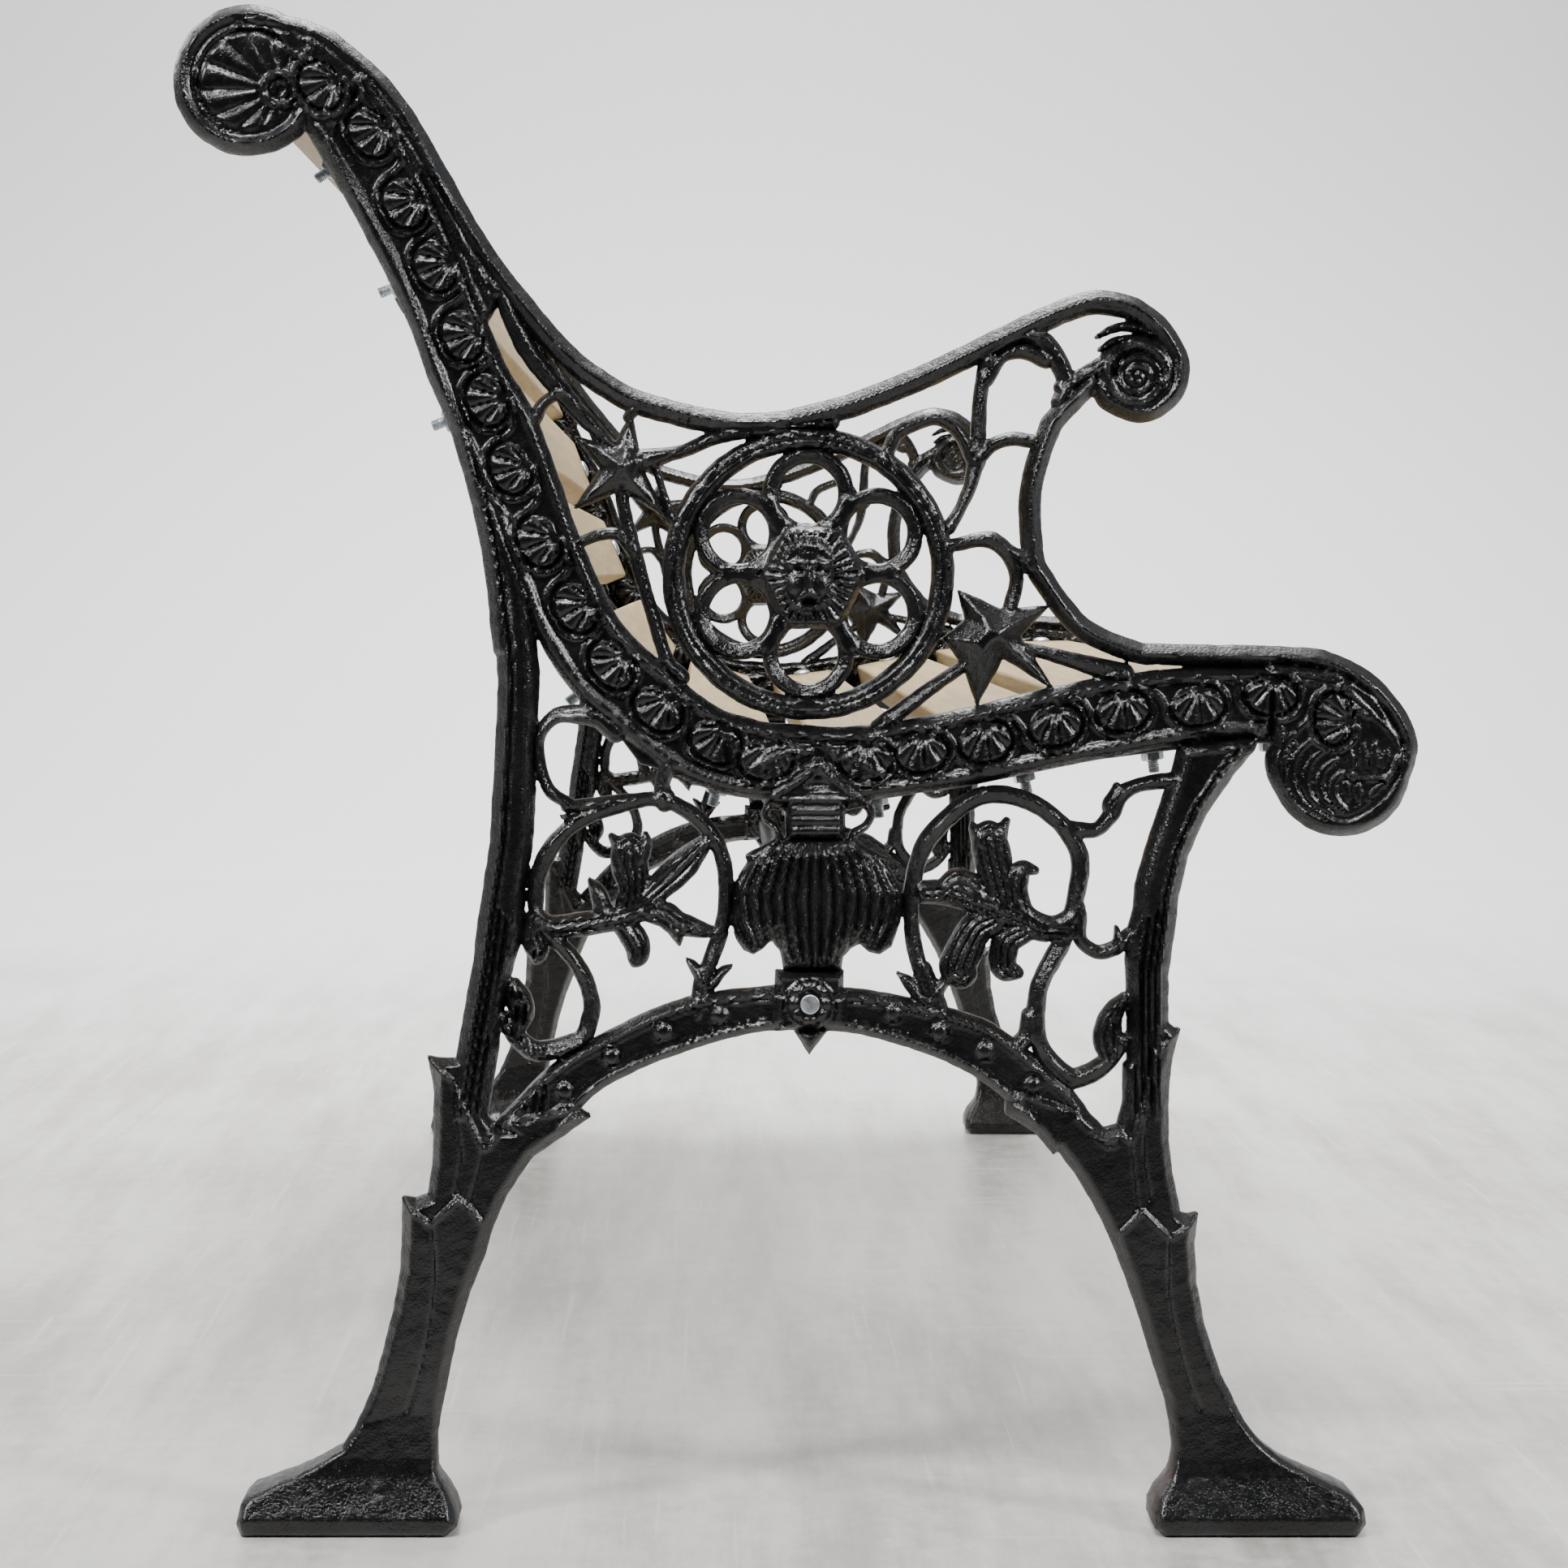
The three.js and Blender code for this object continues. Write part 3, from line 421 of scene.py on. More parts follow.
def longer(line):
    """A rib's line carried on at both ends by a quarter of its width, into what it meets."""
    ends = []
    for last, before in ((line[0], line[1]), (line[-1], line[-2])):
        end = last + (last - before) / np.linalg.norm(last[:2] - before[:2]) * last[2] * 0.25
        end[2] = last[2]
        ends.append(end)
    return np.vstack([ends[0], line, ends[1]])


def circle(centre, radius, corners=64):
    turn = np.linspace(0, 2 * np.pi, corners + 1)
    return np.column_stack([centre[0] + radius * np.cos(turn), centre[1] + radius * np.sin(turn)])


def smooth_maximum(a, b, blend):
    return np.maximum(a, b) + np.clip(blend - np.abs(a - b), 0, None) ** 2 / (4 * blend)


def hump(x):
    """1 at 0, falling smoothly to 0 at 1."""
    return np.cos(np.clip(np.abs(x), 0, 1) * np.pi / 2) ** 2


def ease(x):
    x = np.clip(x, 0, 1)
    return x * x * (3 - 2 * x)


class Relief:
    def __init__(self, low, high, cell):
        self.forward = np.arange(low[0], high[0] + cell, cell)
        self.up = np.arange(low[1], high[1] + cell, cell)
        shape = (len(self.forward), len(self.up))
        self.outside = np.full(shape, 99.0)  # distance out of the casting, negative inside it
        self.top = np.zeros(shape)
        self.edge = np.full(shape, 3.0)  # the top's height where it meets the outline
        self.draft = np.full(shape, 1.2)  # how steeply it rises from there

    def near(self, points, margin=2.0):
        """The part of the grid round some points: its slices, and its forward and up places."""
        low = np.min(points, axis=0)[:2] - margin
        high = np.max(points, axis=0)[:2] + margin
        i = slice(*np.searchsorted(self.forward, (low[0], high[0])))
        j = slice(*np.searchsorted(self.up, (low[1], high[1])))
        f, z = np.meshgrid(self.forward[i], self.up[j], indexing="ij")
        return (i, j), f, z

    def along(self, line, margin=2.0):
        """Each place near a line: slices, distance, side of the line, length run, half width."""
        line = np.array(line, float)
        if line.shape[1] == 2:
            line = np.column_stack([line, np.zeros(len(line))])
        where, f, z = self.near(line, margin + line[:, 2].max() / 2)
        out = np.full(f.shape, 1e3)
        side, run, half = np.zeros(f.shape), np.zeros(f.shape), np.ones(f.shape)
        done = 0.0
        for (x, y, w), (dx, dy, dw) in zip(line, np.diff(line, axis=0)):
            length = math.hypot(dx, dy)
            if length < 1e-6:
                continue
            t = np.clip(((f - x) * dx + (z - y) * dy) / length**2, 0, 1)
            away_f, away_z = f - x - t * dx, z - y - t * dy
            distance = np.hypot(away_f, away_z)
            width = (w + t * dw) / 2
            closer = distance - width < out
            out[closer] = (distance - width)[closer]
            turn = np.where(dx * away_z - dy * away_f < 0, -1, 1)
            side[closer] = (turn * distance)[closer]
            run[closer] = (done + t * length)[closer]
            half[closer] = width[closer]
            done += length
        return where, out, side, run, half

    def within(self, outline, margin=2.0):
        """Slices, and the distance out of a closed outline, negative inside."""
        outline = np.array(outline, float)
        where, f, z = self.near(outline, margin)
        distance = np.full(f.shape, 1e3)
        inside = np.zeros(f.shape, bool)
        for (x, y), (u, v) in zip(outline, np.roll(outline, -1, axis=0)):
            dx, dy = u - x, v - y
            t = np.clip(((f - x) * dx + (z - y) * dy) / (dx * dx + dy * dy + 1e-12), 0, 1)
            distance = np.minimum(distance, np.hypot(f - x - t * dx, z - y - t * dy))
            crosses = (y > z) != (v > z)
            inside ^= crosses & (f < x + (z - y) * dx / (dy if dy else 1e-12))
        return where, np.where(inside, -distance, distance), f, z

    def add(self, where, out, top, edge, draft):
        """Adds a member: the distance out of it, its top, and how that meets the outline."""
        closer = out < self.outside[where]
        self.edge[where][closer] = edge
        self.draft[where][closer] = draft
        self.outside[where] = np.minimum(self.outside[where], out)
        new = np.where(out < 1.5, top, 0)
        self.top[where] = smooth_maximum(self.top[where], new, 0.8)

    def rib(self, points, crest=6.6, bead=0.3):
        """A rib whose crest is a thin bead a little to one side, with a slope down each way."""
        where, out, side, run, half = self.along(longer(spline(points)))
        v = np.clip(side / half, -1.2, 1.2)
        slope = np.abs(v - bead) / (1 + abs(bead))
        top = crest - 3.0 * slope**1.3 + 0.8 * hump((side - bead * half) / 1.2)
        self.add(where, out, top, edge=2.6, draft=1.5)

    def leaf(self, points, crest=7.0):
        """A leaf with strands that run along it and close up towards its tip."""
        where, out, side, run, half = self.along(spline(points))
        v = np.clip(side / half, -1.2, 1.2)
        strands = max(2, round(max(p[2] for p in points) / 3.8))
        top = crest - 2.0 * v**2 + 0.9 * np.cos(np.pi * strands * v)
        self.add(where, out, top, edge=2.6, draft=1.7)

    def ridge(self, line, width, height):
        """Raises a round bead along a line that lies on the casting."""
        where, out, side, run, half = self.along(line, margin=width)
        self.top[where] += height * hump(side / (width / 2))

    def groove(self, line, width, depth):
        self.ridge(line, width, -depth)

    def flatten(self, outline, height, wall):
        """Sets the top inside an outline, with a sloping wall inside its border."""
        where, out, f, z = self.within(outline)
        share = ease(-out / wall)
        self.top[where] = self.top[where] * (1 - share) + height * share

    def plate(self, outline, profile, edge=3.0, draft=1.6):
        """Adds a closed shape, whose top is profile(out, f, z)."""
        where, out, f, z = self.within(outline)
        self.add(where, out, profile(out, f, z) + 0 * out, edge, draft)

    def disc(self, middle, radius, margin=2.0):
        """The slices and places round a middle, and the distance from it."""
        where, f, z = self.near(circle(middle, radius), margin)
        return where, f, z, np.hypot(f - middle[0], z - middle[1])


def dome(distance, radius):
    return np.sqrt(np.clip(1 - (distance / radius) ** 2, 0, 1))


relief = Relief((-316.3, -1.2), (316.3, 766), CELL)

# The rims: drafted outside, with an outer bead, a smooth channel and a thin inner bead.


def rim(points, width, outer_side):
    where, out, side, run, half = relief.along(spline([(*p, width) for p in points]))
    from_outside = half - outer_side * side
    top = (7.6
           + 1.4 * hump((from_outside - 5.2) / 2.2)
           - 1.2 * hump((from_outside - 8.2) / 1.6)
           + 0.7 * hump((from_outside - 10.6) / 1.4))
    relief.add(where, out, top, edge=2.0, draft=1.45)


rim(back_rim, 12, 1)
rim(rear_rim, 11, -1)
rim(seat_rim, 11, 1)

for outline in (top_neck, seat_neck, rear_leg, front_leg):
    relief.plate(outline, lambda out, f, z: 7.4, 2.0, 1.45)

# The band and the rim over the back run together at the top, with ridges between them.
relief.plate([(-200, 712), (-176, 676), (-163, 645), (-141, 612), (-137, 603), (-149, 614),
              (-158, 598), (-163, 610), (-178, 648), (-196, 690)],
             lambda out, f, z: 6.2, 2.0, 1.5)
relief.ridge(spline([(-215, 725), (-195, 699), (-176, 668), (-162, 637), (-152, 612)]), 2.6, 1.8)

# The band: two beads along each edge and a sunk field between them for the shells.


def across_band(share):
    """The line that lies a share of the way from the band's rear edge to its front edge."""
    return spline(band_rear) * (1 - share) + spline(band_front) * share


relief.plate(np.vstack([across_band(0), across_band(1)[::-1]]), lambda out, f, z: 7.4, 2.0, 1.45)
relief.flatten(np.vstack([across_band(0.20), across_band(0.84)[::-1]]), 5.4, 1.5)
for share, width, height in ((0.055, 3.0, 1.4), (0.15, 2.4, 1.1), (0.885, 2.4, 1.1),
                             (0.97, 2.6, 1.3)):
    relief.ridge(across_band(share), width, height)

# The arch: beaded edges, a sunk granular field and a row of round studs.
relief.plate(np.vstack([spline(arch_upper), spline(arch_lower)[::-1]]),
             lambda out, f, z: 6.0, 2.5, 1.4)
for line, turn in ((arch_upper, 1), (arch_lower, -1)):
    where, out, side, run, half = relief.along(spline(line), margin=9)
    inwards = -turn * side
    relief.top[where] += 2.0 * hump((inwards - 3.4) / 2.6) * (relief.outside[where] < 0)
    relief.top[where] += 0.8 * hump((inwards - 6.6) / 1.1)

# The medallion: a ring with doubled beads, six round petals and, in the middle, a lion's mask.
centre = (5.5, 477.5)
ring_radius, ring_width = 67.5, 11.5
petal_place, petal_radius, petal_width = 40, 19, 8
where, f, z, distance = relief.disc(centre, ring_radius + ring_width)
s = distance - ring_radius
top = (6.2 + 2.2 * hump((s - 3.6) / 1.3) + 1.5 * hump((s - 1.2) / 1.0)
       + 2.0 * hump((s + 4.0) / 1.3) + 1.2 * hump((s + 1.8) / 0.9))
relief.add(where, np.abs(s) - ring_width / 2, top, edge=2.6, draft=1.6)
for turn in np.radians(np.arange(90, 450, 60)):
    middle = (centre[0] + petal_place * math.cos(turn), centre[1] + petal_place * math.sin(turn))
    where, f, z, distance = relief.disc(middle, petal_radius + petal_width / 2, 1.5)
    s = distance - petal_radius
    top = 6.0 - 2.4 * np.clip((1.6 - s) / 5.6, 0, 1) + 0.7 * hump((s - 1.7) / 0.9)
    relief.add(where, np.abs(s) - petal_width / 2, top, edge=3.0, draft=1.4)

mask = [(-7, 502), (22, 502), (35, 477), (22, 450), (-7, 450), (-20, 477)]
face = (5.3, 476.3)
where, out, f, z = relief.within(mask, 3)
u, v = f - face[0], z - face[1]
radius, turn = np.hypot(u / 0.86, v), np.arctan2(v, u)
mane = 2.1 * np.abs(np.cos(turn * 15 + 0.8 * np.sin(turn * 3))) ** 0.8
top = 8.0 + mane * ease((radius - 13) / 3) + 2.0 * hump(radius / 26)
top = np.minimum(top, 3.4 + 1.9 * np.clip(-out, 0, None))
relief.add(where, out, top, edge=3.4, draft=2.4)
head = relief.top[where]


def feature(across, up, wide, tall, height, power=2.0):
    """A rounded bump on the face, its size given by half widths."""
    reach = (np.abs((u - across) / wide) ** power + np.abs((v - up) / tall) ** power)
    return height * np.clip(1 - reach, 0, 1) ** (0.55 if wide > 8 else 0.85)


head += feature(0, 1, 12.8, 18.5, 4.4, 2.8) + feature(0, 11, 9.5, 5.0, 1.0)
for side in (-1, 1):
    head += feature(side * 5.6, 6.2, 5.6, 1.9, 1.9)
    head -= feature(side * 5.4, 2.3, 4.8, 2.5, 2.2)
    head += feature(side * 5.3, 1.9, 2.7, 1.4, 1.7)
    head += feature(side * 6.8, -5.0, 4.0, 4.4, 1.3)
    head += feature(side * 3.2, -10.2, 3.4, 1.6, 1.4)
head += feature(0, -1.0, 2.2, 9.0, 2.8) + feature(0, -8.4, 3.9, 2.0, 2.0)
head -= feature(0, -12.9, 5.4, 2.0, 3.0)
head += feature(0, -16.4, 4.6, 1.9, 1.7)
relief.top[where] = head

# The stars: a ridge down each arm, from the outline's own distance; the rear one has a boss.
for outline, boss in zip(stars, (8.0, 0)):
    where, out, f, z = relief.within(outline)
    middle = np.mean(outline, axis=0)
    distance = np.hypot(f - middle[0], z - middle[1])
    top = 3.2 + 1.0 * np.clip(-out, 0, 12)
    if boss:
        top = smooth_maximum(top, 7.0 + 4.5 * dome(distance, boss), 1.0)
    relief.add(where, out, top, edge=2.6, draft=1.6)

for points in ribs:
    relief.rib(points)
leaf_swell, leaf_border = 1.22, 0.8
for points in leaves:
    relief.leaf([(f, z, width * leaf_swell + leaf_border) for f, z, width in points])

# The vase: a bellied body with upright flutes, a grooved neck, a collar and the arch-crown boss.
where, out, f, z = relief.within(vase)
vase_middle, vase_flutes = 9, 14
waist = np.interp(z, (279, 290, 303, 318, 335, 345), (22, 33, 41, 43, 34, 22))
across = np.clip((f - vase_middle) / waist, -1.1, 1.1)
top = 6.5 + 5.0 * np.sqrt(np.clip(1 - across**2 * 0.8, 0, 1)) * ease(-out / 9)
top += 1.3 * np.cos(across * np.pi * vase_flutes) * ease(-out / 3)
relief.add(where, out, top, edge=3.0, draft=1.8)
relief.plate([(-6, 366), (24, 366), (24, 344), (-6, 344)],
             lambda out, f, z: 8.2 + 0.7 * np.cos((z - 344) * 2 * np.pi / 5.2))
relief.plate([(-16, 376), (36, 376), (35, 362), (27, 361), (-7, 361), (-17, 362)],
             lambda out, f, z: 6.6 + 0.6 * np.cos((z - 361) * 2 * np.pi / 4.6))
relief.plate([(-11, 279), (23, 279), (23, 249), (-11, 249)],
             lambda out, f, z: 8.8 + 1.4 * hump((out + 2.6) / 1.8), 4.0, 2.0)
relief.plate([(-3, 250), (16, 250), (6, 237)],
             lambda out, f, z: 6.5 + 0.4 * np.clip(-out, 0, 5))
rod_place = (6, 263.5)
where, f, z, distance = relief.disc(rod_place, 14)
turn = np.arctan2(z - rod_place[1], f - rod_place[0])
beads = np.abs(np.cos(turn * 4)) ** 0.6 * hump((distance - 8.2) / 3.2)
relief.top[where] = np.maximum(relief.top[where], np.where(
    distance < 12.5, 9.4 + 2.6 * beads + 1.2 * hump((distance - 12) / 1.2), 0))
relief.top[where] = np.where(distance < 5.6, 10.6, relief.top[where])

# The scrolls: a rim bead round each, then a fan of lobes, a swirl of leaves or a spiral.
for middle, size in (((-274.7, 724.7), 37.8), ((272.2, 380.8), 34.8), ((170.0, 576.6), 20.8)):
    where, f, z, distance = relief.disc(middle, size + 2)
    from_outside = size - distance
    top = (6.6 + 2.2 * hump((from_outside - 5.6) / 2.6) - 1.0 * hump((from_outside - 9.5) / 2)
           + 0.6 * hump((from_outside - 11.6) / 1.2))
    relief.add(where, distance - size, top, edge=2.0, draft=1.45)

fan = (-259, 719.5)
field = (-273.5, 723.5)
fan_first, fan_last, fan_lobe, hub_radius = 52, 310, 21.5, 10.5  # the first three in degrees
where, f, z, distance = relief.disc(field, 28)
limit = 26.5 - distance
reach = np.hypot(f - fan[0], z - fan[1])
turn = np.degrees(np.arctan2(z - fan[1], f - fan[0])) % 360
lobe = np.abs(np.sin(np.radians((turn - fan_first) * 180 / fan_lobe)))
fans = (limit > 0) & (reach > 10) & (turn > fan_first) & (turn < fan_last)
relief.top[where] = np.where(
    fans,
    5.2 + 2.6 * lobe**0.6 * ease(limit / 4) * (0.35 + 0.65 * ease((reach - 10) / 16)),
    relief.top[where],
)
where, f, z, hub = relief.disc(fan, 11)
relief.top[where] = np.where(hub < hub_radius, 5.6 + 2.8 * hump((hub - 8.0) / 2.4),
                             relief.top[where])
curl = np.radians(np.linspace(-60, 190, 30))
relief.ridge(np.column_stack([fan[0] + 1.0 + 3.8 * np.cos(curl), fan[1] + 3.8 * np.sin(curl)]),
             3.0, 2.2)
relief.ridge(spline([(-249, 714), (-244, 722), (-247, 733), (-256, 741)]), 3.4, 2.2)

# Two beads follow the seat scroll's rim, and the scroll holds a swirl of leaves.
for lower in (7.8, 12.0):
    relief.ridge(spline([(180, 436 - lower), (210, 435.5 - lower), (249, 435.5 - lower),
                         (266, 432.5 - lower), (281 - lower * 0.5, 424 - lower * 0.8),
                         (294 - lower * 0.8, 411 - lower * 0.5)]), 2.4, 1.3)
crescents = [
    [(247.9, 398.3), (241.5, 389.4), (240.3, 377.3), (243.7, 367)],
    [(256.1, 394.5), (248.4, 385.9), (246.7, 373.9), (251.8, 363.6), (263, 355.9)],
    [(263.8, 390.2), (256.1, 383.4), (253.5, 373.1), (257, 364.5), (267.3, 357.6)],
    [(269, 385.1), (263, 379.9), (260.4, 372.2), (263, 364.5), (271.6, 358.5)],
    [(272, 379.1), (267.3, 373.1), (268.1, 365.3), (273.3, 360.2)],
    [(275.8, 388.5), (276.3, 379.1)], [(281.9, 392.8), (282.7, 378)],
    [(287.9, 392.8), (287.9, 378)], [(293.9, 389.4), (292.2, 380)],
    [(273.6, 373.5), (274.4, 364)], [(279.6, 372.6), (279.8, 364)], [(286, 366.5), (292, 373)],
]
for points in crescents:
    lobe = spline(points)
    swell = np.sin(np.linspace(0.12, 0.95, len(lobe)) * np.pi)
    lobe = np.column_stack([lobe, 1.6 + 4.2 * swell])
    where, out, side, run, half = relief.along(lobe)
    relief.top[where] = np.where(out < 0, 6.0 + 2.6 * dome(side, half), relief.top[where])
relief.ridge(spline([(272.5, 377.3), (283.6, 375.2), (295.6, 376.5), (299.5, 386)]), 3.2, 2.2)

# The arm's scroll: a spiral, with two leaves over it.
arm = (169.5, 576)
spiral_turn = np.linspace(0.6, 3.1 * 2 * np.pi, 110)
size = 15.2 * (spiral_turn / spiral_turn[-1])
relief.ridge(np.column_stack([arm[0] + size * np.cos(-spiral_turn + 2.6),
                              arm[1] + size * np.sin(-spiral_turn + 2.6)]), 2.8, 1.9)
for points in ([(152, 590, 3), (160, 594, 5), (170, 594, 5), (180, 588, 3)],
               [(150, 596, 2), (158, 600, 4.5), (168, 601, 5), (180, 596, 3)]):
    relief.leaf(points, 7.6)

# The shells on the band, each wrapped by a stem that crosses the band to reach the next one.
shells = [(-238, 721), (-213.5, 697.5), (-196.5, 662.5), (-181, 631), (-167.5, 596.5),
          (-155, 564), (-143.5, 530), (-129, 493.5), (-111, 460.5), (-92.5, 432), (-69.5, 410),
          (-41, 393.5), (-16, 384.5), (34, 384.5), (62, 388.5), (94, 393.5), (129, 401.5),
          (162.5, 409), (200, 411.5), (236.5, 417), (268, 405)]
for index, place in enumerate(shells):
    before = np.array(shells[index - 1] if index else (-246, 745), float)
    after = np.array((*shells, (266, 372))[index + 1], float)
    if index == len(shells) - 1:
        before = np.array((268, 430), float)
    down = (after - before) / np.linalg.norm(after - before)
    across = np.array((-down[1], down[0]))  # towards the sitter
    where, f, z = relief.near([place], 22)
    s = (f - place[0]) * down[0] + (z - place[1]) * down[1]
    n = (f - place[0]) * across[0] + (z - place[1]) * across[1]
    oval = 1 - np.hypot(s / 13.6, n / 10.4)
    hinge = np.arctan2(s - 1.5, 9.0 - n)
    rays = np.abs(np.sin(hinge * 5.6 + 0.3)) ** 0.55
    reach = np.hypot(s - 1.5, 9.0 - n)
    shell = 5.0 + (1.2 + 3.0 * rays) * ease(oval * 8) * ease(reach / 8)
    shell += 1.2 * hump((reach - 1.0) / 3.2)
    relief.top[where] = np.where(oval > 0, shell, relief.top[where])
    stem = [(-25, 10), (-19.5, 8), (-16.5, 2), (-15, -5), (-9.5, -10.8), (0, -12.2),
            (10, -10.2), (15, -3), (14.2, 5), (9, 10.5), (4, 11)]
    line = spline([tuple(np.array(place) + down * a + across * b) for a, b in stem])
    relief.ridge(line, 3.8, 2.6)

# The chevron leaf under the middle of the band, and the studs of the arch.
for points in (
    [(-14, 366, 9), (-2, 373, 8), (10, 382, 5)],
    [(33, 364, 8), (22, 372, 7), (10, 382, 4)],
    [(-24, 380, 4), (-10, 387, 7), (4, 389, 4)],
    [(18, 388, 4), (30, 384, 7), (42, 378, 4)],
):
    relief.leaf(points, 9.2)
stud_radius = 4.2
for place in ((-116.5, 219.5), (-93, 236.5), (-67, 249), (-38.5, 257), (47.5, 258.5),
              (71, 249), (93.5, 239.5), (117.5, 222)):
    where, f, z, distance = relief.disc(place, 5)
    relief.top[where] = np.maximum(relief.top[where], np.where(
        distance < stud_radius, 6.4 + 2.6 * dome(distance, stud_radius), 0))
    relief.top[where] += 0.7 * hump((distance - 5.6) / 0.9)

# The legs: beads down the outer edge, and flutes above the leaf sheaths.
flute_low, flute_top, flute_pitch = 206, 322, 4.0
for outer in (rear_leg[:12] + [(-176, 203)], front_leg[:9] + [(188, 203)]):
    where, out, side, run, half = relief.along(outer, margin=26)
    inwards = np.abs(side)
    up = relief.up[where[1]][None, :] + 0 * side
    free = relief.outside[where] < 0
    beads = 1.8 * hump((inwards - 5.6) / 1.6) + 1.3 * hump((inwards - 8.8) / 1.3)
    flutes = -1.2 * np.cos((inwards - 10.4) * 2 * np.pi / flute_pitch)
    fluted = ease((flute_top - inwards - up) / 2) * ease((up - flute_low) / 4)
    change = beads + np.where(inwards > 9.6, flutes * fluted, 0)
    relief.top[where] += np.where(free & (up > 205), change, 0)

for leg in (rear_leg, front_leg):
    where, out, f, z = relief.within(leg)
    relief.top[where] += 1.3 * hump((-out - 5.4) / 1.6) * ease((z - 244) / 8)

# Each leg is wrapped by two leaf sheaths, upper and lower, that fade out down it, with creases.
sheaths = [
    [(-186, 238), (-171, 226), (-163, 207), (-156, 192), (-143, 206), (-112, 211), (-100, 206),
     (-118, 190), (-140, 168), (-155, 130), (-150, 90), (-230, 90), (-200, 130)],
    [(-200, 168), (-183, 155), (-169, 168), (-160, 160), (-154, 152), (-150, 120), (-160, 60),
     (-240, 40), (-205, 130)],
    [(194, 253), (178, 240), (172, 215), (166, 196), (152, 206), (112, 219), (100, 208),
     (118, 190), (150, 150), (170, 90), (240, 90), (204, 130)],
    [(203, 160), (186, 148), (172, 162), (160, 150), (156, 140), (165, 100), (170, 60),
     (240, 40), (210, 130)],
]
for outline, faded in zip(sheaths, (100, 45, 100, 45)):
    where, out, f, z = relief.within(outline, 4)
    fade = ease((z - faded) / 60)
    relief.top[where] += fade * (1.6 * ease(-out / 1.2) + 0.9 * hump((out + 1.8) / 1.5))
creases = [
    [(-171, 224), (-170, 205), (-168, 186), (-171, 168)],
    [(-156, 192), (-160, 176), (-164, 162)],
    [(-183, 155), (-181, 130), (-184, 100), (-191, 70), (-200, 50)],
    [(176, 240), (176, 215), (173, 190), (176, 165)],
    [(166, 196), (168, 178), (170, 160)],
    [(186, 148), (185, 125), (189, 98), (197, 70), (206, 50)],
]
for points in creases:
    relief.groove(spline(points), 3.8, 1.3)

# The feet spread to both sides, down to a plate that stands on the floor.
foot_half, foot_top = 21.0, 60
for leg in (rear_leg, front_leg):
    where, out, f, z = relief.within([p for p in leg if p[1] < 70], 3)
    spread = np.interp(z, (0, 3, 9, 20, 28, 36, 50, 60), (20, 21, 21, 15.5, 11.8, 9.6, 8.2, 7.4))
    low = z < foot_top
    relief.top[where] = np.where(low & (out < 1), np.maximum(spread, relief.top[where]),
                                 relief.top[where])
    relief.edge[where] = np.where(
        low, np.interp(z, (0, 20, 36, 60), (18, 12.5, 6.0, 2.0)), relief.edge[where])
    relief.draft[where] = np.where(low, 1.6, relief.draft[where])

# Cast iron is never quite true: the outline and the surface wander a little.
rng = np.random.default_rng(7)
waves = 26
grid_f, grid_z = np.meshgrid(relief.forward, relief.up, indexing="ij")
wander = np.zeros(grid_f.shape)
for wave in range(waves):
    length = rng.uniform(5, 30)
    turn = rng.uniform(0, 2 * np.pi)
    phase = rng.uniform(0, 2 * np.pi)
    wander += np.sin((grid_f * math.cos(turn) + grid_z * math.sin(turn)) * 2 * np.pi / length
                     + phase) / 5
relief.outside += 0.16 * wander * ease((grid_z - 4) / 10)
relief.top += 0.10 * wander

# ==== the castings: mesh ===================================
# Cells whose middle is inside the outline become quads on both faces. The vertices on the border
# move onto the outline, and a strip of quads closes the side.

least_top = 0.8
slope = relief.edge + relief.draft * np.clip(-relief.outside, 0, None)
top = np.maximum(-smooth_maximum(-relief.top, -slope, 0.7), least_top)

corner = relief.outside
middle_out = (corner[:-1, :-1] + corner[1:, :-1] + corner[:-1, 1:] + corner[1:, 1:]) / 4
cells = middle_out < 0
cells &= (relief.up[:-1] > -0.6)[None, :]
share = np.zeros(corner.shape, int)  # how many cells meet at each vertex
for di in (0, 1):
    for dj in (0, 1):
        share[di:di + cells.shape[0], dj:dj + cells.shape[1]] += cells
used = share > 0
border = used & (share < 4)
index = np.full(corner.shape, -1)
index[used] = np.arange(used.sum())
slope_f, slope_z = np.gradient(corner, CELL)
steep = np.maximum(slope_f**2 + slope_z**2, 0.25)
shift = np.clip(corner, -CELL, CELL) * border
place_f = grid_f - shift * slope_f / steep
place_z = np.clip(grid_z - shift * slope_z / steep, 0, None)
top = np.where(border, relief.edge, top)

i, j = np.nonzero(cells)
quads = np.column_stack([index[i, j], index[i + 1, j], index[i + 1, j + 1], index[i, j + 1]])
count = int(used.sum())
edges = np.vstack([quads[:, [0, 1]], quads[:, [1, 2]], quads[:, [2, 3]], quads[:, [3, 0]]])
key = edges[:, 0].astype(np.int64) * count + edges[:, 1]
back_key = edges[:, 1].astype(np.int64) * count + edges[:, 0]
rim_edges = edges[~np.isin(key, back_key)]
faces = np.vstack([
    quads,
    quads[:, ::-1] + count,
    np.column_stack([rim_edges[:, 1], rim_edges[:, 0], rim_edges[:, 0] + count,
                     rim_edges[:, 1] + count]),
])
flat = np.column_stack([place_f[used], place_z[used], top[used]])

# In the bench's frame the pattern's forward is -Y, and the right casting's outer side is -X.
middle_x = end_low.x + foot_half / 1000
sheet = np.vstack([flat, flat * (1, 1, -1)]) / 1000
right = np.column_stack([middle_x - sheet[:, 2], -sheet[:, 0], sheet[:, 1]])

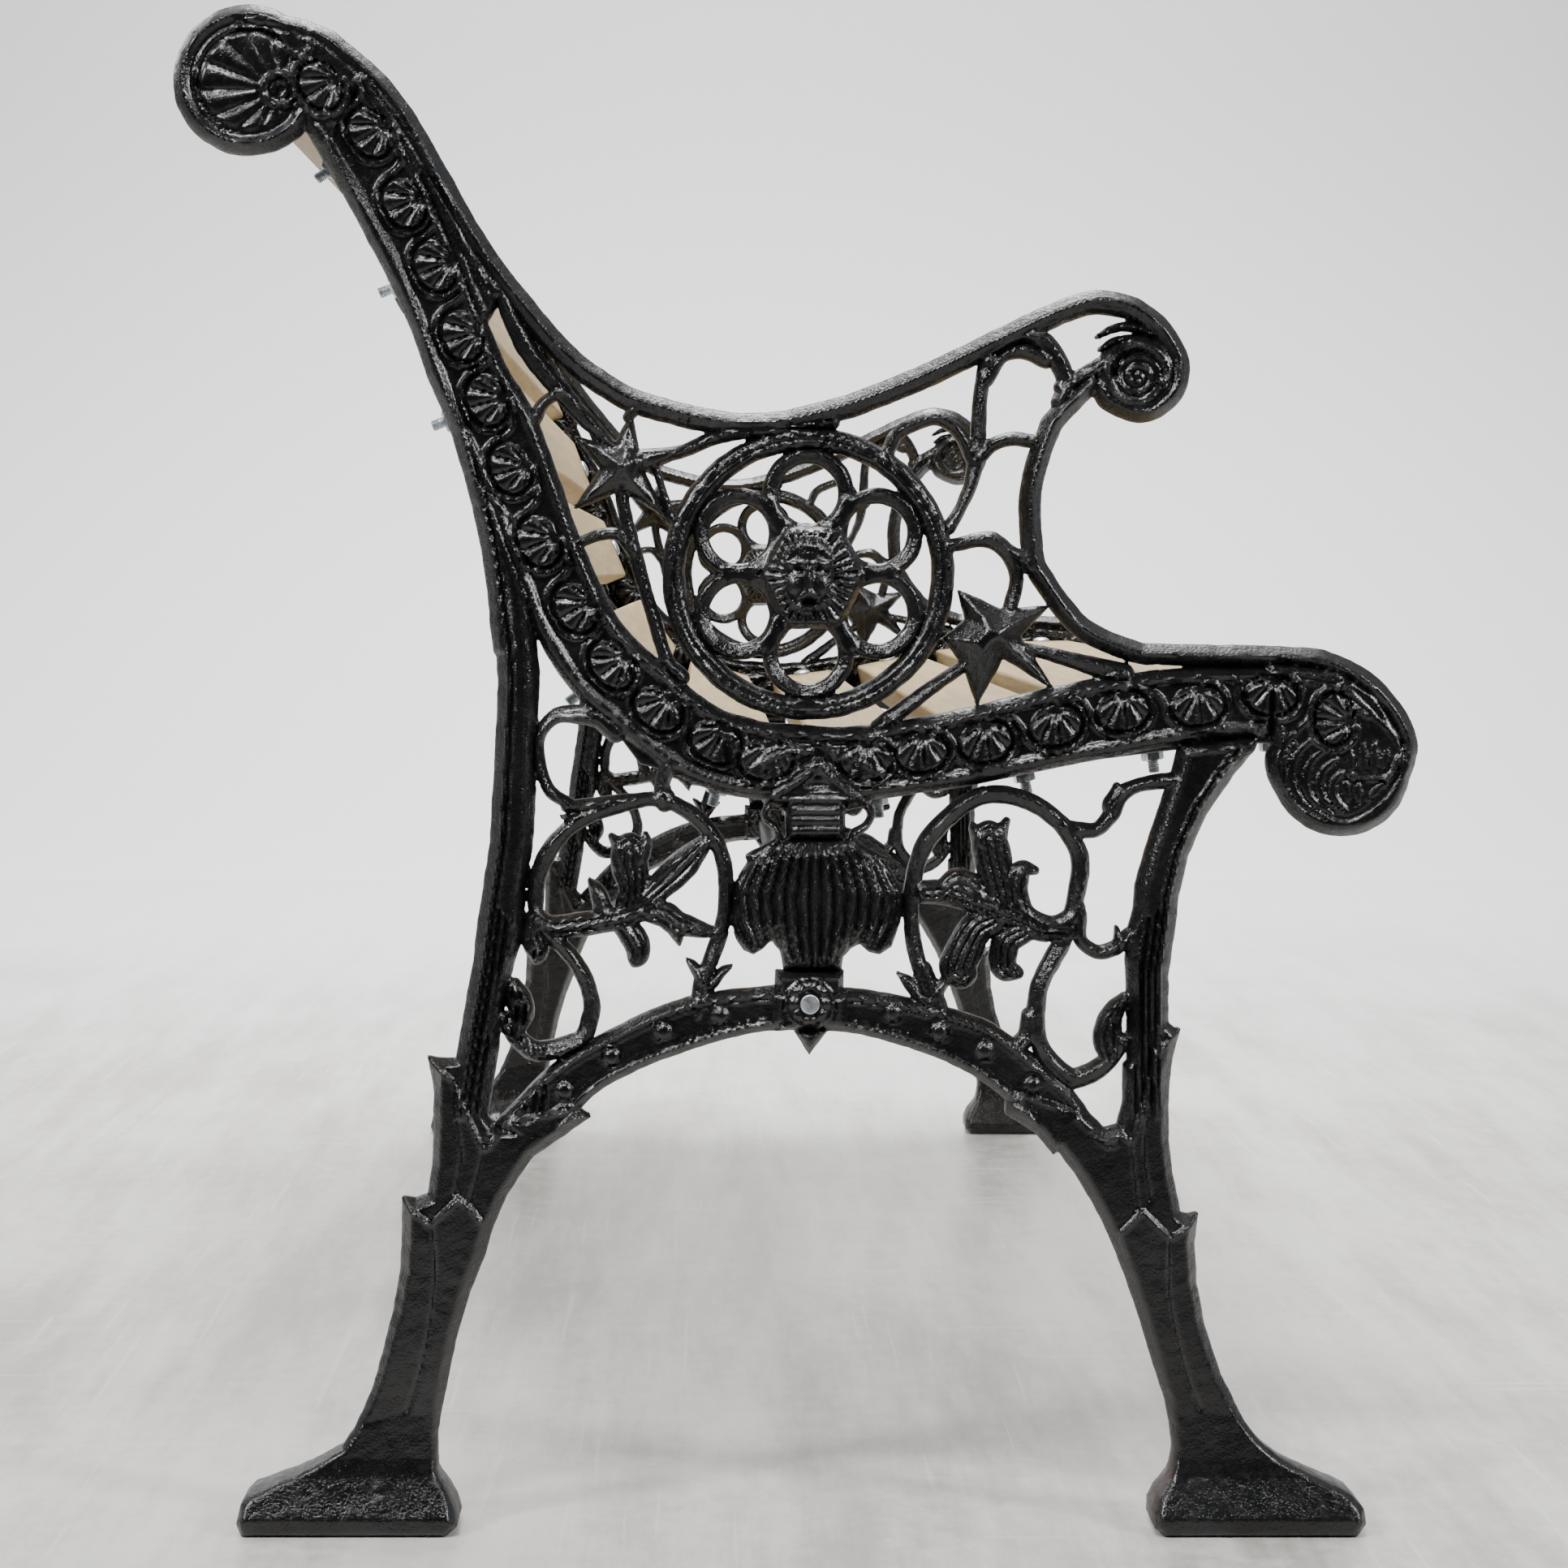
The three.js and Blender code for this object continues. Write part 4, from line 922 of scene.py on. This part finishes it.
enamel = Material("black_enamel")
spot = enamel.place()
pebble = enamel.noise(spot, 700, 2, 0.7)
grain = enamel.noise(spot, 260, 3, 0.6)
patch = enamel.noise(spot, 22, 4, 0.6)
facing = enamel.node("SeparateXYZ", Vector=enamel.node("NewGeometry", output="Normal"))
sideways = facing.math("ABSOLUTE").ramp(0.12, 0.55, 1.0, 0.0)
rust = sideways * patch.ramp(0.52, 0.68)
dust = patch.ramp(0.35, 0.7)
enamel.finish(
    Base_Color=enamel.mix(rust, enamel.mix(dust, (0.003, 0.003, 0.0034), (0.0075, 0.0075, 0.008)),
                          (0.035, 0.015, 0.007)),
    Roughness=rust * 0.2 + grain.ramp(0.3, 0.7, 0.15, 0.29) + sideways * 0.22,
    Normal=enamel.bump(0.45 * grain + 0.55 * pebble, 0.0011, 0.63),
    Coat_Weight=sideways * -0.2 + 0.2,
    Coat_Roughness=0.08,
)


def put(obj, node):
    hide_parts(node)
    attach(obj, "root")


for name, side in (("right_casting", 1), ("left_casting", -1)):
    turned = right * (side, 1, 1)
    piece = mesh_object(name + "_relief", turned, faces if side > 0 else faces[:, ::-1],
                        enamel.material, 50)
    put(piece, name)


# ==== the ledges ===========================================
# Each casting carries a ledge, 7 mm thick under the line that the slats lie on, from its own
# middle to 32 mm inside its inner face. Its edges are rounded, and it is as rough as the rest.


def rings(points, closed_across=True, caps=False):
    """Quads over a grid of points [ring, place, xyz], with each ring closed."""
    points = np.array(points, float)
    n, m = points.shape[:2]
    step = m if closed_across else m - 1
    at = np.arange(n * m).reshape(n, m)
    after = np.roll(at, -1, axis=1)
    quads = np.stack([at[:-1, :step], after[:-1, :step], after[1:, :step], at[1:, :step]], axis=-1)
    quads = [tuple(q) for q in quads.reshape(-1, 4).tolist()]
    if caps:
        quads += [tuple(at[0, ::-1].tolist()), tuple(at[-1].tolist())]
    return points.reshape(-1, 3), quads


def corner_arcs(corners, radius, step):
    """Points round corners that are given by their middles and the angles where they start."""
    return [(x + radius * math.cos(turn), y + radius * math.sin(turn))
            for x, y, start in corners
            for turn in np.radians(np.arange(start, start + 91, step))]


seat_line = [(-300.5, 741), (-248, 716), (-209, 661.5), (-180, 593), (-154.5, 525),
             (-127, 458), (-75, 388), (0, 367), (80, 377), (148, 391), (212, 399), (270, 400)]
line = np.array(seat_line, float)
ledge_thickness, ledge_inside, ledge_outside, round_edge = 7.0, 548.0, 589.0, 1.6
runs = np.diff(line, axis=0)
runs /= np.linalg.norm(runs, axis=1)[:, None]
ups = np.column_stack([-runs[:, 1], runs[:, 0]])
ups = np.vstack([ups[:1], ups[:-1] + ups[1:], ups[-1:]])
ups /= np.linalg.norm(ups, axis=1)[:, None]
ledge_under = round_edge - ledge_thickness
section = corner_arcs([(ledge_inside + round_edge, -round_edge, 90),
                       (ledge_inside + round_edge, ledge_under, 180),
                       (ledge_outside, ledge_under, 270),
                       (ledge_outside, -round_edge, 0)], round_edge, 45)
for name, side in (("right_casting", -1), ("left_casting", 1)):
    ledge = [[(side * x, -(p + u * depth)[0], (p + u * depth)[1]) for x, depth in section]
             for p, u in zip(line, ups)]
    points, quads = rings(np.array(ledge) / 1000, caps=True)
    put(mesh_object(name + "_ledge", points, quads, enamel.material, 35), name)

# ==== the slats ============================================
# Eleven 52 x 20 mm boards, 1158 mm long, with rounded edges, in pale softwood: beige with fine
# straight grain and a few knots. Each board's texture starts at its own place.

wood = Material("pale_softwood")
wave = wood.noise(wood.place((1.6, 14.0, 14.0)), 3.0, 3, 0.5)
stretched = wood.node("VectorMath", settings=dict(operation="ADD"), Vector=wood.place(
    (0.9, 26.0, 26.0)))
connect(wave, stretched.socket.node.inputs[1])
growth = wood.noise(stretched, 5.0, 6, 0.62, 0.4)
pores = wood.noise(wood.place((6.0, 300.0, 300.0)), 3.0, 3, 0.6)
knot = wood.node("TexVoronoi", Vector=wood.place((1.3, 7.0, 7.0)), Scale=1.4)
knots = knot.ramp(0.03, 0.16, 1.0, 0.0)
tone = wood.mix(growth.ramp(0.35, 0.66), (0.28, 0.20, 0.090), (0.40, 0.305, 0.158))
tone = wood.mix(pores.ramp(0.45, 0.75) * 0.35, tone, (0.16, 0.10, 0.05))
wood.finish(
    Base_Color=wood.mix(knots * 0.55, tone, (0.36, 0.23, 0.12)),
    Roughness=growth.ramp(0.3, 0.7, 0.55, 0.72),
    Normal=wood.bump(0.6 * pores + 0.4 * growth, 0.0005, 0.6),
)

zinc = Material("zinc_steel")
dull = zinc.noise(zinc.place(), 420, 3, 0.6)
stain = zinc.noise(zinc.place(), 90, 3, 0.6)
zinc.finish(
    Base_Color=zinc.mix(stain.ramp(0.4, 0.7), (0.82, 0.86, 0.90), (0.60, 0.63, 0.65)),
    Metallic=1.0,
    Roughness=dull.ramp(0.3, 0.7, 0.34, 0.52),
    Normal=zinc.bump(dull, 0.0002, 0.5),
)

# Zinc plated M6 hardware, in millimetres over the line that the slat lies on: a domed head 14 mm
# across on the slat, and a 10 mm nut under the ledge with 6.5 mm of thread below it.
bolt_x, head_base, tail, nut_top, nut_height = 565.0, 20.6, -18.8, -7.3, 5.0
shank, thread_step, head_round = 3.0, 0.14, 7.0


def turned_piece(name, profile, sides, pitch=0.0, depth=0.0, thread_end=-99.0, across_flats=None):
    """A mesh turned about Z from (radius, height), with a thread or six flats if asked for."""
    turns = np.linspace(0, 2 * np.pi, sides, endpoint=False)
    loops = []
    for r, z in profile:
        radius = np.full(sides, float(r))
        if pitch and z < thread_end and r > 2:
            phase = (z / pitch + turns / (2 * np.pi)) % 1
            radius -= depth * np.abs(2 * phase - 1)
        if across_flats:
            flats = across_flats / 2 / np.cos((turns + np.pi / 6) % (np.pi / 3) - np.pi / 6)
            radius = np.minimum(flats, r)
        loops.append(np.column_stack([radius * np.cos(turns), radius * np.sin(turns),
                                      np.full(sides, float(z))]))
    points, quads = rings(np.array(loops) / 1000)
    piece = mesh_object(name, points, quads, zinc.material, 30)
    bpy.context.scene.collection.objects.unlink(piece)
    return piece.data


profile = [(0.01, tail), (2.3, tail)]
profile += [(shank, z) for z in np.arange(tail + 0.4, -5.0, thread_step)]
profile += [(shank, -5.0), (shank, head_base), (6.4, head_base), (head_round, head_base + 0.35)]
profile += [(head_round * math.cos(a), head_base + 0.4 + 2.8 * math.sin(a))
            for a in np.radians((15, 30, 45, 60, 75))] + [(0.01, head_base + 3.2)]
bolt_mesh = turned_piece("bolt", profile, 24, 1.0, 0.55, -5.2)
profile = [(3.2, nut_top), (5.1, nut_top), (5.9, nut_top - 0.55),
           (5.9, nut_top - nut_height + 0.55), (5.1, nut_top - nut_height),
           (3.2, nut_top - nut_height), (3.2, nut_top)]
nut_mesh = turned_piece("nut", profile[::-1], 36, across_flats=10.0)

slat_width, slat_thickness, slat_round, seat_gap, slat_half = 52.0, 20.0, 2.5, 0.3, 579.0
slat_side, slat_top = slat_width / 2 - slat_round, slat_thickness - slat_round
rounded = np.array(corner_arcs([(slat_side, slat_top, 0), (-slat_side, slat_top, 90),
                                (-slat_side, slat_round, 180), (slat_side, slat_round, 270)],
                               slat_round, 22.5))
slat_names = [f"back_slat_{i}" for i in range(1, 7)] + [f"seat_slat_{i}" for i in range(1, 6)]
chance = np.random.default_rng(11)
for index, name in enumerate(slat_names):
    start, end = line[index], line[index + 1]
    run = (end - start) / np.linalg.norm(end - start)
    middle = (start + end) / 2
    frame_of_slat = Matrix((
        (-1, 0, 0, 0),
        (0, -run[0], run[1], -middle[0] / 1000),
        (0, run[1], run[0], middle[1] / 1000),
        (0, 0, 0, 1),
    ))
    bow = chance.uniform(-0.25, 0.25, 4)  # how it bends along its length
    loops = []
    for x in (-slat_half, -slat_half + 0.8, *np.linspace(-500, 500, 21), slat_half - 0.8,
              slat_half):
        trim = 0.8 if abs(x) == slat_half else 0.0
        shrink = 1 - trim * np.array((2 / slat_width, 2 / slat_thickness))
        ring = (rounded - (0, slat_thickness / 2)) * shrink + (0, slat_thickness / 2 + seat_gap)
        away = bow[0] * math.sin(x / 190 + bow[1] * 9) + bow[2] * math.cos(x / 270)
        loops.append([(x, y + away, z) for y, z in ring])
    offset = Vector((chance.uniform(-8, 8), chance.uniform(-3, 3), chance.uniform(-3, 3)))
    points, quads = rings(np.array(loops) / 1000 - np.array(offset), caps=True)
    slat = mesh_object(name + "_board", points, quads, wood.material, 40)
    slat.matrix_world = frame_of_slat @ Matrix.Translation(offset)
    put(slat, name)
    for end_name, x in (("right", bolt_x), ("left", -bolt_x)):
        for kind, mesh in (("bolt", bolt_mesh), ("nut", nut_mesh)):
            part = bpy.data.objects.new(f"{name}_{kind}_{end_name}_turned", mesh)
            bpy.context.scene.collection.objects.link(part)
            spin = Matrix.Rotation(chance.uniform(0, math.tau), 4, "Z")
            part.matrix_world = frame_of_slat @ Matrix.Translation((x / 1000, 0, 0)) @ spin
            put(part, f"{name}_{kind}_{end_name}")

# ==== the tie rod and its screws ===========================
# A 12 mm rod in the same black as the castings, between the crowns of the arches, with a slotted
# zinc plated screw 9.5 mm across the head in each end.

(rod_f, rod_z), rod_end, rod_radius, rod_sides = rod_place, 576.2, 6.0, 28
turns = np.linspace(0, 2 * np.pi, rod_sides, endpoint=False)
profile = [(2.8, -rod_end), (5.2, -rod_end), (rod_radius, -rod_end + 0.8)]
profile += [(rod_radius, x) for x in np.linspace(-560, 560, 57)]
profile += [(rod_radius, rod_end - 0.8), (5.2, rod_end), (2.8, rod_end)]
loops = []
for r, x in profile:
    loops.append(np.column_stack([np.full(rod_sides, x), -rod_f + r * np.cos(turns),
                                  rod_z + r * np.sin(turns)]))
points, quads = rings(np.array(loops) / 1000)
put(mesh_object("tie_rod_bar", points, quads, enamel.material, 30), "tie_rod")

head_radius, head_height, slot_half, slot_depth, screw_x = 4.75, 2.6, 0.85, 1.8, 601.8
flat_radius, screw_sides = 4.31, 40
across_slot = [-4.3, -4.0, -3.2, -2.2, -1.2, -slot_half, -slot_half, 0, slot_half, slot_half,
               1.2, 2.2, 3.2, 4.0, 4.3]
levels = [0] * 6 + [-slot_depth] * 3 + [0] * 6
rows = []
for v, level in zip(across_slot, levels):
    reach = math.sqrt(flat_radius**2 - v**2)
    row = [(u * reach, v, head_height + level) for u in np.linspace(-1, 1, 13)]
    rows.append(row)
top_points, top_quads = rings(np.array(rows) / 1000, closed_across=False)
side_turns = np.linspace(0, 2 * np.pi, screw_sides, endpoint=False)
wall = []
for r, z in ((flat_radius, head_height - 0.02), (head_radius, head_height - 0.5),
             (head_radius, 0.0), (2.5, 0.0), (2.5, -47.0), (0.01, -47.6)):
    wall.append(np.column_stack([r * np.cos(side_turns), r * np.sin(side_turns),
                                 np.full(screw_sides, z)]))
wall_points, wall_quads = rings(np.array(wall) / 1000)
count = len(top_points)
wall_quads = [tuple(i + count for i in quad) for quad in wall_quads]
for name, side in (("tie_screw_right", -1), ("tie_screw_left", 1)):
    screw = mesh_object(name + "_slotted", np.vstack([top_points, wall_points]),
                        top_quads + wall_quads, zinc.material, 30)
    screw.matrix_world = (
        Matrix.Translation((side * screw_x / 1000, -rod_f / 1000, rod_z / 1000))
        @ Matrix.Rotation(math.radians(90 * side), 4, "Y")
        @ Matrix.Rotation(math.radians(14), 4, "Z"))
    put(screw, name)
